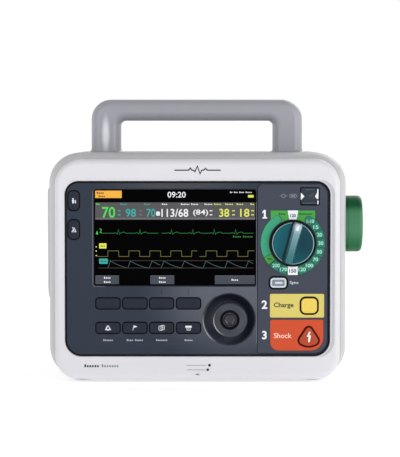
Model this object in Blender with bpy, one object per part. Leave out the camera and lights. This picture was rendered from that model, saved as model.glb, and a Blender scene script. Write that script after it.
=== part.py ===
"""Portable monitor and defibrillator.

A white front bezel and a grey rear housing close round a metal chassis. The bezel frames a dark
control panel with a screen, keys, a select knob and the therapy controls. The left side carries
the patient sockets, the right side the therapy port and a strip printer, and the rear the
battery, the mains inlet and the network socket. A fixed carrying handle stands on the top.

Sizes are in millimetres in the object's own axes: X to the right, Y from the front face towards
the rear, Z up from the surface that the feet stand on. The helpers turn them into metres.
"""

import math

import bmesh
import bpy
from mathutils import Matrix, Vector

MM = 0.001
GAP = 0.3                   # clearance between neighbouring pieces
ARC_STEPS = 5               # straight runs in a quarter-round corner
TURN_STEPS = 28             # straight runs in a full circle
SMALL_TURN_STEPS = 14
SOCKET_STEPS = 20

# Front bezel
BEZEL_HALF_WIDTH = 136.6
BEZEL_BOTTOM = 4.0
BEZEL_TOP = 215.6
BEZEL_DEPTH = 20.0
BEZEL_EDGE_RADIUS = 6.0
BEZEL_RADII = (22.5, 22.5, 25.0, 25.0)      # bottom left, bottom right, top right, top left
BEZEL_WALL = 3.2
BEZEL_FRONT_WALL = 2.6

# Rear housing
GASKET_THICKNESS = 0.8
HOUSING_FRONT = BEZEL_DEPTH + GASKET_THICKNESS + 2 * GAP
HOUSING_REAR = 205.0
HOUSING_HALF_WIDTH = 144.3
HOUSING_BOTTOM = 2.3
HOUSING_TOP = 221.5
HOUSING_RADIUS = 30.0
HOUSING_WALL = 3.0
FRONT_FLARE = 6.7           # how far the housing spreads from its front edge
FRONT_FLARE_DEPTH = 18.0
REAR_ROUNDING = 12.0

# Carrying handle
HANDLE_X = -0.8
HANDLE_Y = 100.0
HANDLE_HALF_WIDTH = 105.6
HANDLE_HALF_GRIP = 76.0
HANDLE_TOP = 274.0
HANDLE_GRIP_TOP = 252.8
HANDLE_DEPTH = 30.0
HANDLE_OUTER_RADIUS = 19.7
HANDLE_INNER_RADIUS = 5.0
HANDLE_EDGE = 8.0
HANDLE_SCREW_Y = HANDLE_Y - 7.5
HANDLE_SCREW_RADIUS = 2.5
HANDLE_SCREW_HEAD_RADIUS = 5.0
HANDLE_SCREW_TOP = HOUSING_TOP + 18.0

# Control panel and what it carries; faces and backs are depths along Y
PANEL_FACE = 0.8
PANEL_BACK = 4.5
PANEL_FLANGE_FRONT = BEZEL_FRONT_WALL + GAP
PANEL_FLANGE = 3.0
PANEL_HALF_WIDTH = 126.6
PANEL_BOTTOM = 26.9
PANEL_TOP = 194.3
PANEL_RADII = (15.5, 15.5, 13.0, 13.0)
THERAPY_PANEL = (57.4, 124.2, 29.6, 191.6)      # left, right, bottom, top, as in SCREEN
THERAPY_RADII = (2.0, 12.5, 10.0, 5.0)
SCREEN = (-98.7, 55.7, 94.7, 186.3)
SCREEN_RADIUS = 1.5
WINDOW_FACE = PANEL_FACE + 0.2
WINDOW_BACK = 2.3
MODULE_BACK = 12.0
MODULE_MARGIN = 4.3         # how far the screen module reaches past the window
KEY_FLANGE = 1.2
KEY_FACE = PANEL_FACE - 0.4
CAP_EDGE = 0.4
FLANGE_FRONT = PANEL_BACK + 0.4
FLANGE_THICKNESS = 1.0
PLATE_FRONT = 0.5           # the printed plates lie in shallow recesses
PLATE_BACK = 1.1
RECESS_FLOOR = PLATE_BACK + GAP

KEY_COLUMNS = (-85.7, -60.0, -34.3, -8.6)
SOFT_KEY_ROW = 77.5
FUNCTION_KEY_ROW = 54.0
KEY_SIZE = (22.4, 9.9)
KEY_RADIUS = 2.5
SIDE_KEY_X = -118.2
SIDE_KEY_ROWS = (175.9, 148.3)
SIDE_KEY_SIZE = (10.2, 18.2)
SIDE_KEY_RADIUS = 4.0

SELECT_X, SELECT_Z = 30.8, 62.3
DISH_RADIUS = 24.7
SELECT_RADIUS = 16.6
SELECT_FRONT = -8.6
DISH_FACE = 0.6
DISH_BACK = 6.2
DISH_FLOOR = 4.6
KNOB_REAR = 3.4
KNOB_RECESS_RADIUS = 9.2
KNOB_RECESS_FLOOR = -5.0
HEX_CAP_RADIUS = 6.6
HEX_CAP_FACE = -7.8
SHAFT_RADIUS = 3.0
SHAFT_BORE = SHAFT_RADIUS + GAP

DIAL_X, DIAL_Z = 91.1, 135.3
DIAL_RADIUS = 31.0
DIAL_HOLE_RADIUS = 22.4
THERAPY_KNOB_RADIUS = 20.8
THERAPY_KNOB_FRONT = -5.4
GRIP_BAR_FRONT = -16.0
THERAPY_KNOB_ANGLE = 15.0   # the pointer rests this far clockwise of the top
DIAL_BLOCK_HALF_WIDTH = 21.4
DIAL_BLOCK_TOP = 166.7

SYNC_CENTRE, SYNC_SIZE, SYNC_RADIUS = (77.35, 97.3), (15.3, 9.5), 3.0
SYNC_FACE = -0.2
CHARGE_CENTRE, CHARGE_SIZE, CHARGE_RADIUS = (106.9, 75.3), (14.9, 14.2), 4.0
CHARGE_FACE = SHOCK_FACE = -0.8
CHARGE_PLATE = (69.3, 121.2, 63.9, 86.7)
SHOCK_PLATE = (69.6, 120.5, 32.2, 61.8)
SHOCK_PLATE_RADII = (8.0, 12.0, 1.5, 1.5)
SHOCK_X = 106.5
SHOCK_APEX_Z, SHOCK_APEX_RADIUS = 51.7, 2.8
SHOCK_CORNER_Z, SHOCK_CORNER_RADIUS = 42.0, 3.8
SHOCK_CORNER_OFFSET = 5.2
BUTTON_MARGIN = 1.5         # dark ring between a button and its coloured plate
READY_WINDOW = (98.2, 116.4, 171.4, 188.6)

# Left side: patient sockets
CONNECTOR_FACE = -146.4
CONNECTOR_PANEL = (42.0, 134.0, 78.0, 187.0)    # front, rear, bottom, top
CONNECTOR_INSET = 5.0
SOCKETS = {                                     # Y, Z, outer radius, cavity radius, depth
    "ecg_socket": (70.0, 160.0, 12.0, 9.5, 13.0),
    "oximetry_socket": (70.0, 118.0, 10.5, 8.0, 13.0),
    "pressure_port": (106.0, 160.0, 8.0, 5.5, 11.0),
    "gas_inlet": (106.0, 118.0, 7.0, 4.4, 11.0),
}

# Right side: therapy port
PORT_Y, PORT_Z = 70.0, 150.8
PORT_RADIUS = 27.8
PORT_END = 162.0
PORT_CAVITY_RADIUS = 20.5
PORT_FLOOR = 138.0
PORT_BARREL_RADIUS = 24.0

# Right side: printer
DOOR_FACE = 144.2
DOOR_BACK = 140.5
DOOR = (98.5, 181.5, 32.6, 103.4)
DOOR_PIVOT = (142.8, 34.6)                      # X and Z of the hinge pin
HINGE_PIN_RADIUS = 0.9
PRINTER_BAY = (98.0, 182.0, 31.0, 105.0)
PRINTER_FRAME = (99.0, 181.0, 33.0, 103.0)
PRINTER_FRAME_BACK = 96.0
PRINTER_FRAME_FRONT = 138.5
PRINTER_WALL = 1.5
PLATEN_X, PLATEN_Z = 135.0, 93.0
PLATEN_RADIUS = 5.0
PAPER_X, PAPER_Z = 116.0, 60.0
PAPER_RADIUS = 17.0
PAPER_CORE_RADIUS = 6.0
RELEASE_BUTTON = (132.0, 148.0, 109.5, 118.5)

# Rear
BATTERY = (-112.0, -8.0, 18.0, 77.0)
BATTERY_FRONT = 128.0
BATTERY_REAR = 204.6
BATTERY_LATCH = (-27.0, -13.0, 40.0, 55.0)
LATCH_RECESS_DEPTH = 6.0
INLET_CENTRE = (62.0, 46.0)
INLET_HALF_SIZE = (14.5, 11.5)
INLET_CAVITY_HALF_SIZE = (12.3, 8.3)
INLET_BLADE_SIZE = (2.0, 4.0)
INLET_BLADES = ((-7.0, -3.0), (0.0, 1.0), (7.0, -3.0))      # from the inlet's centre
INLET_DEPTH = 16.0
NETWORK_CENTRE = (62.0, 84.0)
NETWORK_SIZE = (16.0, 14.0)
NETWORK_CAVITY_SIZE = (12.0, 8.4)
NETWORK_DEPTH = 12.0

# Inside
CHASSIS_PLATE = (-126.0, 126.0, 14.0, 206.0)
CHASSIS_RADIUS = 18.0
CHASSIS_FRONT, CHASSIS_REAR = 22.0, 24.0
SHELF_REAR = 199.0
CAPACITOR_Y, CAPACITOR_Z = 75.0, 110.0
CAPACITOR_RADIUS = 23.0
CAPACITOR_LEFT, CAPACITOR_RIGHT = -80.0, 30.0

FOOT_RADIUS = 9.0
FOOT_STUD_RADIUS = 3.0
FOOT_PLACES = {                                 # X and Y
    "foot_front_left": (-112.0, 42.0),
    "foot_front_right": (112.0, 42.0),
    "foot_rear_left": (-112.0, 182.0),
    "foot_rear_right": (112.0, 182.0),
}

# The object's own axes are moved so that the middle of its outline lies at the world origin.
ORIGIN_X = (CONNECTOR_FACE + PORT_END) / 2
ORIGIN_Y = (GRIP_BAR_FRONT + HOUSING_REAR) / 2

COLOURS = {                 # linear colour, roughness, metallic
    "white_shell": ((0.76, 0.76, 0.80), 0.42, 0.0),
    "grey_shell": ((0.42, 0.42, 0.45), 0.45, 0.0),
    "handle_grey": ((0.36, 0.36, 0.40), 0.42, 0.0),
    "panel_dark": ((0.050, 0.055, 0.075), 0.5, 0.0),
    "key_dark": ((0.040, 0.045, 0.060), 0.45, 0.0),
    "screen_glass": ((0.01, 0.01, 0.012), 0.08, 0.0),
    "dial_green": ((0.05, 0.42, 0.22), 0.45, 0.0),
    "knob_teal": ((0.012, 0.12, 0.13), 0.35, 0.0),
    "charge_yellow": ((0.80, 0.69, 0.13), 0.45, 0.0),
    "shock_orange": ((0.65, 0.09, 0.05), 0.45, 0.0),
    "sync_white": ((0.75, 0.77, 0.78), 0.45, 0.0),
    "port_green": ((0.01, 0.15, 0.07), 0.35, 0.0),
    "rubber_dark": ((0.03, 0.03, 0.035), 0.8, 0.0),
    "silicone_grey": ((0.25, 0.25, 0.27), 0.7, 0.0),
    "moulding_black": ((0.02, 0.02, 0.022), 0.5, 0.0),
    "socket_blue": ((0.03, 0.12, 0.42), 0.45, 0.0),
    "paper_white": ((0.85, 0.85, 0.83), 0.9, 0.0),
    "steel": ((0.6, 0.6, 0.62), 0.35, 1.0),
    "sheet_aluminium": ((0.7, 0.7, 0.72), 0.4, 1.0),
}


# ---------------------------------------------------------------- outlines

def arc(centre, radius, start, end, steps):
    """Points along an arc; the angles are in degrees."""
    points = []
    for step in range(steps + 1):
        angle = math.radians(start + (end - start) * step / steps)
        points.append((centre[0] + radius * math.cos(angle), centre[1] + radius * math.sin(angle)))
    return points


def rounded_rect(box, radii, grow=0.0, steps=ARC_STEPS):
    """Anticlockwise outline of a rectangle (left, right, bottom, top) with rounded corners.

    Radii run from the bottom left corner anticlockwise, or one number serves all four.
    """
    left, right, bottom, top = box[0] - grow, box[1] + grow, box[2] - grow, box[3] + grow
    if not isinstance(radii, tuple):
        radii = (radii,) * 4
    low_left, low_right, high_right, high_left = (max(radius + grow, 0.2) for radius in radii)
    return (arc((left + low_left, bottom + low_left), low_left, 180, 270, steps)
            + arc((right - low_right, bottom + low_right), low_right, 270, 360, steps)
            + arc((right - high_right, top - high_right), high_right, 0, 90, steps)
            + arc((left + high_left, top - high_left), high_left, 90, 180, steps))


def centred_box(centre, size):
    """Left, right, bottom and top of a box given by its centre and size."""
    return (centre[0] - size[0] / 2, centre[0] + size[0] / 2,
            centre[1] - size[1] / 2, centre[1] + size[1] / 2)


def circle(centre, radius, steps=TURN_STEPS):
    """Closed round outline, without the repeated last point."""
    return arc(centre, radius, 0, 360, steps)[:-1]


def shock_outline(grow=0.0):
    """Rounded triangle: a tight apex, two round shoulders and a full round base."""
    apex = arc((SHOCK_X, SHOCK_APEX_Z), SHOCK_APEX_RADIUS + grow, 30, 150, ARC_STEPS)
    left = arc((SHOCK_X - SHOCK_CORNER_OFFSET, SHOCK_CORNER_Z), SHOCK_CORNER_RADIUS + grow,
               150, 240, ARC_STEPS)
    right = arc((SHOCK_X + SHOCK_CORNER_OFFSET, SHOCK_CORNER_Z), SHOCK_CORNER_RADIUS + grow,
                300, 390, ARC_STEPS)
    # The base arc is tangent to both shoulders, so its radius equals its own chord.
    half_chord = SHOCK_CORNER_OFFSET + SHOCK_CORNER_RADIUS * math.cos(math.radians(60))
    base_radius = 2 * half_chord
    shoulder_foot = SHOCK_CORNER_Z - SHOCK_CORNER_RADIUS * math.sin(math.radians(60))
    base_centre = (SHOCK_X, shoulder_foot + base_radius * math.cos(math.radians(30)))
    base = arc(base_centre, base_radius + grow, 240, 300, ARC_STEPS)[1:-1]
    return apex + left + base + right


# ---------------------------------------------------------------- solids

def to_space(axis, position, point):
    """Place an outline point at a position along an axis."""
    if axis == "X":
        return Vector((position, point[0], point[1])) * MM
    if axis == "Y":
        return Vector((point[0], position, point[1])) * MM
    return Vector((point[0], point[1], position)) * MM


def loft(name, axis, sections, ring=False):
    """Closed solid through sections (position, outline) that have equal point counts.

    The first and the last section are capped, or joined to each other when ring is set.
    """
    mesh = bmesh.new()
    loops = [[mesh.verts.new(to_space(axis, position, point)) for point in outline]
             for position, outline in sections]
    pairs = list(zip(loops, loops[1:]))
    if ring:
        pairs.append((loops[-1], loops[0]))
    for first, second in pairs:
        for index in range(len(first)):
            following = (index + 1) % len(first)
            mesh.faces.new((first[index], first[following], second[following], second[index]))
    if not ring:
        mesh.faces.new(loops[0])
        mesh.faces.new(loops[-1])
    bmesh.ops.recalc_face_normals(mesh, faces=mesh.faces)
    if mesh.calc_volume(signed=True) < 0:
        bmesh.ops.reverse_faces(mesh, faces=mesh.faces)
    data = bpy.data.meshes.new(name)
    mesh.to_mesh(data)
    mesh.free()
    piece = bpy.data.objects.new(name, data)
    bpy.context.scene.collection.objects.link(piece)
    return piece


def prism(name, axis, outline, low, high):
    """Outline extruded along an axis."""
    return loft(name, axis, [(low, outline), (high, outline)])


def turned(name, axis, centre, profile, ring=False, steps=TURN_STEPS):
    """Solid of revolution from (radius, position) steps along its axis."""
    sections = [(position, circle(centre, radius, steps)) for radius, position in profile]
    return loft(name, axis, sections, ring)


def apply_modifiers(piece):
    """Replace a piece's mesh by its modified mesh."""
    evaluated = piece.evaluated_get(bpy.context.evaluated_depsgraph_get())
    mesh = bpy.data.meshes.new_from_object(evaluated)
    piece.modifiers.clear()
    piece.data = mesh


def combine(piece, others, operation):
    """Cut the other solids out of a piece, join them to it or keep what they share."""
    for other in others:
        boolean = piece.modifiers.new(operation.lower(), "BOOLEAN")
        boolean.operation = operation
        boolean.solver = "EXACT"
        boolean.object = other
        apply_modifiers(piece)
        bpy.data.objects.remove(other)
    return piece


def cut(piece, *cutters):
    return combine(piece, cutters, "DIFFERENCE")


def join(piece, *additions):
    return combine(piece, additions, "UNION")


def round_edges(piece, width, segments, angle=50.0):
    """Round the edges that are sharper than the angle."""
    bevel = piece.modifiers.new("round", "BEVEL")
    bevel.width = width * MM
    bevel.segments = segments
    bevel.limit_method = "ANGLE"
    bevel.angle_limit = math.radians(angle)
    apply_modifiers(piece)
    return piece


def make_materials():
    """One Principled material for each colour."""
    materials = {}
    for name, (colour, roughness, metallic) in COLOURS.items():
        material = bpy.data.materials.new(name)
        material.use_nodes = True
        shader = material.node_tree.nodes["Principled BSDF"]
        shader.inputs["Base Color"].default_value = (*colour, 1.0)
        shader.inputs["Roughness"].default_value = roughness
        shader.inputs["Metallic"].default_value = metallic
        materials[name] = material
    return materials


class Assembly:
    """The parent empty and the materials that every finished piece gets."""

    def __init__(self):
        self.materials = make_materials()
        self.root = bpy.data.objects.new("assembly", None)
        self.root.location = Vector((-ORIGIN_X, -ORIGIN_Y, 0.0)) * MM
        bpy.context.scene.collection.objects.link(self.root)

    def add(self, piece, material, pivot=(0.0, 0.0, 0.0), turn=0.0):
        """Finish a piece: material, smooth shading, origin on its pivot, parent and turn."""
        piece.data.materials.clear()
        piece.data.materials.append(self.materials[material])
        piece.data.shade_smooth()
        piece.data.set_sharp_from_angle(angle=math.radians(35.0))
        origin = Vector(pivot) * MM
        piece.data.transform(Matrix.Translation(-origin))
        piece.location = origin
        piece.rotation_euler = (0.0, math.radians(turn), 0.0)
        piece.parent = self.root
        return piece


# ---------------------------------------------------------------- shells and handle

def bezel_outline(inset=0.0):
    box = (-BEZEL_HALF_WIDTH, BEZEL_HALF_WIDTH, BEZEL_BOTTOM, BEZEL_TOP)
    return rounded_rect(box, BEZEL_RADII, grow=-inset)


def panel_outline(grow=0.0):
    box = (-PANEL_HALF_WIDTH, PANEL_HALF_WIDTH, PANEL_BOTTOM, PANEL_TOP)
    return rounded_rect(box, PANEL_RADII, grow)


def make_front_bezel(assembly):
    """White shell with a rounded front edge and an opening for the control panel."""
    sections = []
    edge_steps = 4
    for step in range(edge_steps + 1):
        angle = math.radians(90.0 * step / edge_steps)
        inset = BEZEL_EDGE_RADIUS * (1 - math.sin(angle))
        sections.append((BEZEL_EDGE_RADIUS * (1 - math.cos(angle)), bezel_outline(inset)))
    sections.append((BEZEL_DEPTH, bezel_outline()))
    bezel = loft("front_bezel", "Y", sections)
    cavity = prism("cavity", "Y", bezel_outline(BEZEL_WALL), BEZEL_FRONT_WALL, BEZEL_DEPTH + 1)
    opening = prism("opening", "Y", panel_outline(GAP), -1.0, BEZEL_FRONT_WALL + 1)
    assembly.add(cut(bezel, cavity, opening), "white_shell")


def make_case_gasket(assembly):
    """Dark seal between the two shells, set back from their outer faces."""
    front = BEZEL_DEPTH + GAP
    outer = bezel_outline(1.2)
    inner = bezel_outline(BEZEL_WALL - 0.4)
    rear = front + GASKET_THICKNESS
    gasket = loft("case_gasket", "Y", [(front, outer), (rear, outer), (rear, inner), (front, inner)],
                  ring=True)
    assembly.add(gasket, "rubber_dark")


def housing_outline(inset=0.0):
    box = (-HOUSING_HALF_WIDTH, HOUSING_HALF_WIDTH, HOUSING_BOTTOM, HOUSING_TOP)
    return rounded_rect(box, HOUSING_RADIUS, grow=-inset)


def inlet_box(half_size):
    return centred_box(INLET_CENTRE, [2 * half for half in half_size])


def make_rear_housing(assembly):
    """Grey shell that flares from the bezel, with openings for the side and rear pieces."""
    sections = []
    flare_steps = 3
    for step in range(flare_steps + 1):
        angle = math.radians(90.0 * step / flare_steps)
        inset = FRONT_FLARE * (1 - math.sin(angle))
        depth = HOUSING_FRONT + FRONT_FLARE_DEPTH * (1 - math.cos(angle))
        sections.append((depth, housing_outline(inset)))
    rear_steps = 3
    for step in range(rear_steps + 1):
        angle = math.radians(90.0 * step / rear_steps)
        inset = REAR_ROUNDING * (1 - math.cos(angle))
        depth = HOUSING_REAR - REAR_ROUNDING * (1 - math.sin(angle))
        sections.append((depth, housing_outline(inset)))
    housing = loft("rear_housing", "Y", sections)

    rear_wall_face = HOUSING_REAR - HOUSING_WALL
    cavity = loft("cavity", "Y", [
        (HOUSING_FRONT - 1, housing_outline(FRONT_FLARE + HOUSING_WALL)),
        (HOUSING_FRONT + 2, housing_outline(FRONT_FLARE + HOUSING_WALL)),
        (HOUSING_FRONT + FRONT_FLARE_DEPTH, housing_outline(HOUSING_WALL)),
        (HOUSING_REAR - REAR_ROUNDING, housing_outline(HOUSING_WALL)),
        (rear_wall_face, housing_outline(REAR_ROUNDING)),
    ])
    reach = HOUSING_WALL + 3
    side = HOUSING_HALF_WIDTH
    cutters = [
        cavity,
        prism("connector_hole", "X", rounded_rect(CONNECTOR_PANEL, 8.0, GAP - CONNECTOR_INSET),
              -side - 1, -side + reach),
        prism("port_hole", "X", circle((PORT_Y, PORT_Z), PORT_BARREL_RADIUS + GAP),
              side - reach, side + 1),
        prism("printer_hole", "X", rounded_rect(PRINTER_BAY, 3.0), side - reach, side + 1),
        prism("release_hole", "X", rounded_rect(RELEASE_BUTTON, 2.0, GAP), side - reach, side + 1),
        prism("battery_hole", "Y", rounded_rect(BATTERY, 4.0, GAP),
              rear_wall_face - 1, HOUSING_REAR + 1),
        prism("inlet_hole", "Y", rounded_rect(inlet_box(INLET_HALF_SIZE), 2.0, GAP),
              rear_wall_face - 1, HOUSING_REAR + 1),
        prism("network_hole", "Y", rounded_rect(centred_box(NETWORK_CENTRE, NETWORK_SIZE), 1.0, GAP),
              rear_wall_face - 1, HOUSING_REAR + 1),
        prism("hinge_bore", "Y", circle(DOOR_PIVOT, HINGE_PIN_RADIUS + 0.2, SMALL_TURN_STEPS),
              DOOR[0] - 4.0, DOOR[1] + 4.0),
    ]
    for place in FOOT_PLACES.values():
        outline = circle(place, FOOT_STUD_RADIUS + GAP, SMALL_TURN_STEPS)
        cutters.append(prism("foot_hole", "Z", outline, HOUSING_BOTTOM - 1, HOUSING_BOTTOM + reach))
    for x in handle_leg_centres():
        outline = circle((x, HANDLE_SCREW_Y), HANDLE_SCREW_RADIUS + GAP, SMALL_TURN_STEPS)
        cutters.append(prism("handle_hole", "Z", outline, HOUSING_TOP - reach, HOUSING_TOP + 1))
    assembly.add(cut(housing, *cutters), "grey_shell")


def handle_leg_centres():
    offset = (HANDLE_HALF_WIDTH + HANDLE_HALF_GRIP) / 2
    return (HANDLE_X - offset, HANDLE_X + offset)


def make_handle(assembly):
    """Hoop with rounded edges, split down the middle into a front and a rear shell."""
    sink = HOUSING_TOP - 15.0
    left, right = HANDLE_X - HANDLE_HALF_WIDTH, HANDLE_X + HANDLE_HALF_WIDTH
    inner_left, inner_right = HANDLE_X - HANDLE_HALF_GRIP, HANDLE_X + HANDLE_HALF_GRIP
    outer, inner = HANDLE_OUTER_RADIUS, HANDLE_INNER_RADIUS
    outline = [(left, sink), (inner_left, sink)]
    outline += arc((inner_left + inner, HANDLE_GRIP_TOP - inner), inner, 180, 90, 4)
    outline += arc((inner_right - inner, HANDLE_GRIP_TOP - inner), inner, 90, 0, 4)
    outline += [(inner_right, sink), (right, sink)]
    outline += arc((right - outer, HANDLE_TOP - outer), outer, 0, 90, 2 * ARC_STEPS)
    outline += arc((left + outer, HANDLE_TOP - outer), outer, 90, 180, 2 * ARC_STEPS)
    front, rear = HANDLE_Y - HANDLE_DEPTH / 2, HANDLE_Y + HANDLE_DEPTH / 2
    base = HOUSING_TOP + GAP
    wide = (left - 5, right + 5)
    for name, low, high in (("handle_front_shell", front - 1, HANDLE_Y - GAP / 2),
                            ("handle_rear_shell", HANDLE_Y + GAP / 2, rear + 1)):
        hoop = prism(name, "Y", outline, front, rear)
        round_edges(hoop, HANDLE_EDGE, 3)
        half = prism("half", "Z", rounded_rect((*wide, low, high), 0.5, steps=1),
                     base, HANDLE_TOP + 5)
        combine(hoop, [half], "INTERSECT")
        if name == "handle_front_shell":
            for x in handle_leg_centres():
                bore = prism("bore", "Z", circle((x, HANDLE_SCREW_Y), HANDLE_SCREW_RADIUS + GAP,
                                                 SMALL_TURN_STEPS),
                             base - 1, HANDLE_SCREW_TOP + GAP)
                cut(hoop, bore)
        assembly.add(hoop, "handle_grey")

    inner_face = HOUSING_TOP - HOUSING_WALL - GAP
    for name, x in zip(("handle_screw_left", "handle_screw_right"), handle_leg_centres()):
        screw = turned(name, "Z", (x, HANDLE_SCREW_Y), [
            (HANDLE_SCREW_HEAD_RADIUS, inner_face - 3.5), (HANDLE_SCREW_HEAD_RADIUS, inner_face),
            (HANDLE_SCREW_RADIUS, inner_face), (HANDLE_SCREW_RADIUS, HANDLE_SCREW_TOP),
        ], steps=SMALL_TURN_STEPS)
        assembly.add(screw, "steel")


def make_feet(assembly):
    """Rubber pads with a stud that plugs into the housing floor."""
    pad_top = HOUSING_BOTTOM - GAP
    for name, place in FOOT_PLACES.items():
        foot = turned(name, "Z", place, [
            (FOOT_RADIUS - 0.6, 0.0), (FOOT_RADIUS, 0.6), (FOOT_RADIUS, pad_top),
            (FOOT_STUD_RADIUS, pad_top), (FOOT_STUD_RADIUS, HOUSING_BOTTOM + HOUSING_WALL + 1),
        ], steps=SMALL_TURN_STEPS)
        assembly.add(foot, "rubber_dark")


# ---------------------------------------------------------------- front panel

def make_press_piece(assembly, name, outline_of, face, material, centre):
    """Key or button: a cap through the panel with a flange behind it that retains it."""
    cap, flange = outline_of(0.0), outline_of(KEY_FLANGE)
    piece = loft(name, "Y", [
        (face, outline_of(-CAP_EDGE)), (face + CAP_EDGE, cap), (FLANGE_FRONT, cap),
        (FLANGE_FRONT, flange), (FLANGE_FRONT + FLANGE_THICKNESS, flange),
    ])
    assembly.add(piece, material, pivot=(centre[0], PANEL_FACE, centre[1]))


def panel_keys():
    """Name, box, corner radius and centre of each key on the control panel."""
    keys = []
    for kind, row in (("soft_key", SOFT_KEY_ROW), ("function_key", FUNCTION_KEY_ROW)):
        for number, column in enumerate(KEY_COLUMNS, start=1):
            centre = (column, row)
            keys.append((f"{kind}_{number}", centred_box(centre, KEY_SIZE), KEY_RADIUS, centre))
    for number, row in enumerate(SIDE_KEY_ROWS, start=1):
        centre = (SIDE_KEY_X, row)
        keys.append((f"side_key_{number}", centred_box(centre, SIDE_KEY_SIZE), SIDE_KEY_RADIUS,
                     centre))
    return keys


def rect_outline(box, radius):
    """Outline function of a rounded rectangle, with an allowance as its argument."""
    return lambda grow: rounded_rect(box, radius, grow, steps=2)


def make_control_panel(assembly):
    """Dark panel: a plate with a flange behind the bezel and openings for what it carries."""
    panel = loft("control_panel", "Y", [
        (PANEL_FACE, panel_outline()), (PANEL_FLANGE_FRONT, panel_outline()),
        (PANEL_FLANGE_FRONT, panel_outline(PANEL_FLANGE)), (PANEL_BACK, panel_outline(PANEL_FLANGE)),
    ])
    holes = [rounded_rect(THERAPY_PANEL, THERAPY_RADII, GAP),
             rounded_rect(SCREEN, SCREEN_RADIUS, GAP),
             circle((SELECT_X, SELECT_Z), DISH_RADIUS + GAP)]
    holes += [rect_outline(box, radius)(GAP) for _, box, radius, _ in panel_keys()]
    cutters = [prism("hole", "Y", outline, PANEL_FACE - 1, PANEL_BACK + 1) for outline in holes]
    assembly.add(cut(panel, *cutters), "panel_dark")
    for name, box, radius, centre in panel_keys():
        make_press_piece(assembly, name, rect_outline(box, radius), KEY_FACE, "key_dark", centre)


def dial_outline_solids(front, back, grow):
    """The dial's disc and the block above it, for the plate or for its recess."""
    disc = prism("disc", "Y", circle((DIAL_X, DIAL_Z), DIAL_RADIUS + grow, 2 * TURN_STEPS),
                 front, back)
    block_box = (DIAL_X - DIAL_BLOCK_HALF_WIDTH, DIAL_X + DIAL_BLOCK_HALF_WIDTH,
                 DIAL_Z + DIAL_HOLE_RADIUS - 2, DIAL_BLOCK_TOP)
    block = prism("block", "Y", rounded_rect(block_box, 0.4, grow, steps=2), front, back)
    return join(disc, block)


def make_therapy_panel(assembly):
    """Right part of the control panel with the dial, the coloured plates and their buttons."""
    panel = prism("therapy_panel", "Y", rounded_rect(THERAPY_PANEL, THERAPY_RADII),
                  PANEL_FACE, PANEL_BACK)
    sync = rect_outline(centred_box(SYNC_CENTRE, SYNC_SIZE), SYNC_RADIUS)
    charge = rect_outline(centred_box(CHARGE_CENTRE, CHARGE_SIZE), CHARGE_RADIUS)
    through = [circle((DIAL_X, DIAL_Z), DIAL_HOLE_RADIUS - GAP), sync(GAP), charge(GAP),
               shock_outline(GAP), rounded_rect(READY_WINDOW, 1.0, GAP, steps=2)]
    cutters = [dial_outline_solids(PANEL_FACE - 1, RECESS_FLOOR, 0.2)]
    cutters += [prism("hole", "Y", outline, PANEL_FACE - 2, PANEL_BACK + 1) for outline in through]
    charge_recess = rounded_rect(CHARGE_PLATE, 1.5, 0.2)
    shock_recess = rounded_rect(SHOCK_PLATE, SHOCK_PLATE_RADII, 0.2)
    for outline in (charge_recess, shock_recess):
        cutters.append(prism("recess", "Y", outline, PANEL_FACE - 1, RECESS_FLOOR))
    assembly.add(cut(panel, *cutters), "panel_dark")

    dial = dial_outline_solids(PLATE_FRONT, PLATE_BACK, 0.0)
    dial.name = "dial_plate"
    hole = prism("hole", "Y", circle((DIAL_X, DIAL_Z), DIAL_HOLE_RADIUS), -1.0, PLATE_BACK + 1)
    assembly.add(cut(dial, hole), "dial_green")

    for name, plate_outline, hole_outline, material in (
            ("charge_plate", rounded_rect(CHARGE_PLATE, 1.5), charge(BUTTON_MARGIN),
             "charge_yellow"),
            ("shock_plate", rounded_rect(SHOCK_PLATE, SHOCK_PLATE_RADII),
             shock_outline(BUTTON_MARGIN), "shock_orange")):
        plate = prism(name, "Y", plate_outline, PLATE_FRONT, PLATE_BACK)
        hole = prism("hole", "Y", hole_outline, PLATE_FRONT - 1, PLATE_BACK + 1)
        assembly.add(cut(plate, hole), material)

    for name, outline_of, face, material, centre in (
            ("sync_button", sync, SYNC_FACE, "sync_white", SYNC_CENTRE),
            ("charge_button", charge, CHARGE_FACE, "charge_yellow", CHARGE_CENTRE),
            ("shock_button", shock_outline, SHOCK_FACE, "shock_orange",
             (SHOCK_X, SHOCK_CORNER_Z))):
        make_press_piece(assembly, name, outline_of, face, material, centre)

    ready_box = rounded_rect(READY_WINDOW, 1.0, steps=2)
    ready_frame = rounded_rect(READY_WINDOW, 1.0, 1.5, steps=2)
    ready = loft("ready_window", "Y", [
        (PANEL_FACE + 0.3, ready_box), (FLANGE_FRONT, ready_box),
        (FLANGE_FRONT, ready_frame), (FLANGE_FRONT + 4.0, ready_frame),
    ])
    assembly.add(ready, "screen_glass")


def make_display(assembly):
    """Cover glass in the panel's opening, with the screen module close behind it."""
    opening = rounded_rect(SCREEN, SCREEN_RADIUS)
    assembly.add(prism("display_window", "Y", opening, WINDOW_FACE, WINDOW_BACK), "screen_glass")
    frame = rounded_rect(SCREEN, SCREEN_RADIUS, MODULE_MARGIN)
    module = loft("lcd_module", "Y", [
        (WINDOW_BACK + GAP, opening), (FLANGE_FRONT, opening),
        (FLANGE_FRONT, frame), (MODULE_BACK, frame),
    ])
    assembly.add(module, "moulding_black")


def make_keypad_mat(assembly):
    """One silicone mat that runs behind every key and button, round the screen."""
    corners = [(-124.5, 31.0), (122.0, 31.0), (122.0, 104.0), (66.0, 104.0), (66.0, 44.0),
               (5.0, 44.0), (5.0, 86.0), (-106.0, 86.0), (-106.0, 188.0), (-124.5, 188.0)]
    assembly.add(prism("keypad_mat", "Y", corners, 7.4, 8.6), "silicone_grey")


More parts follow.
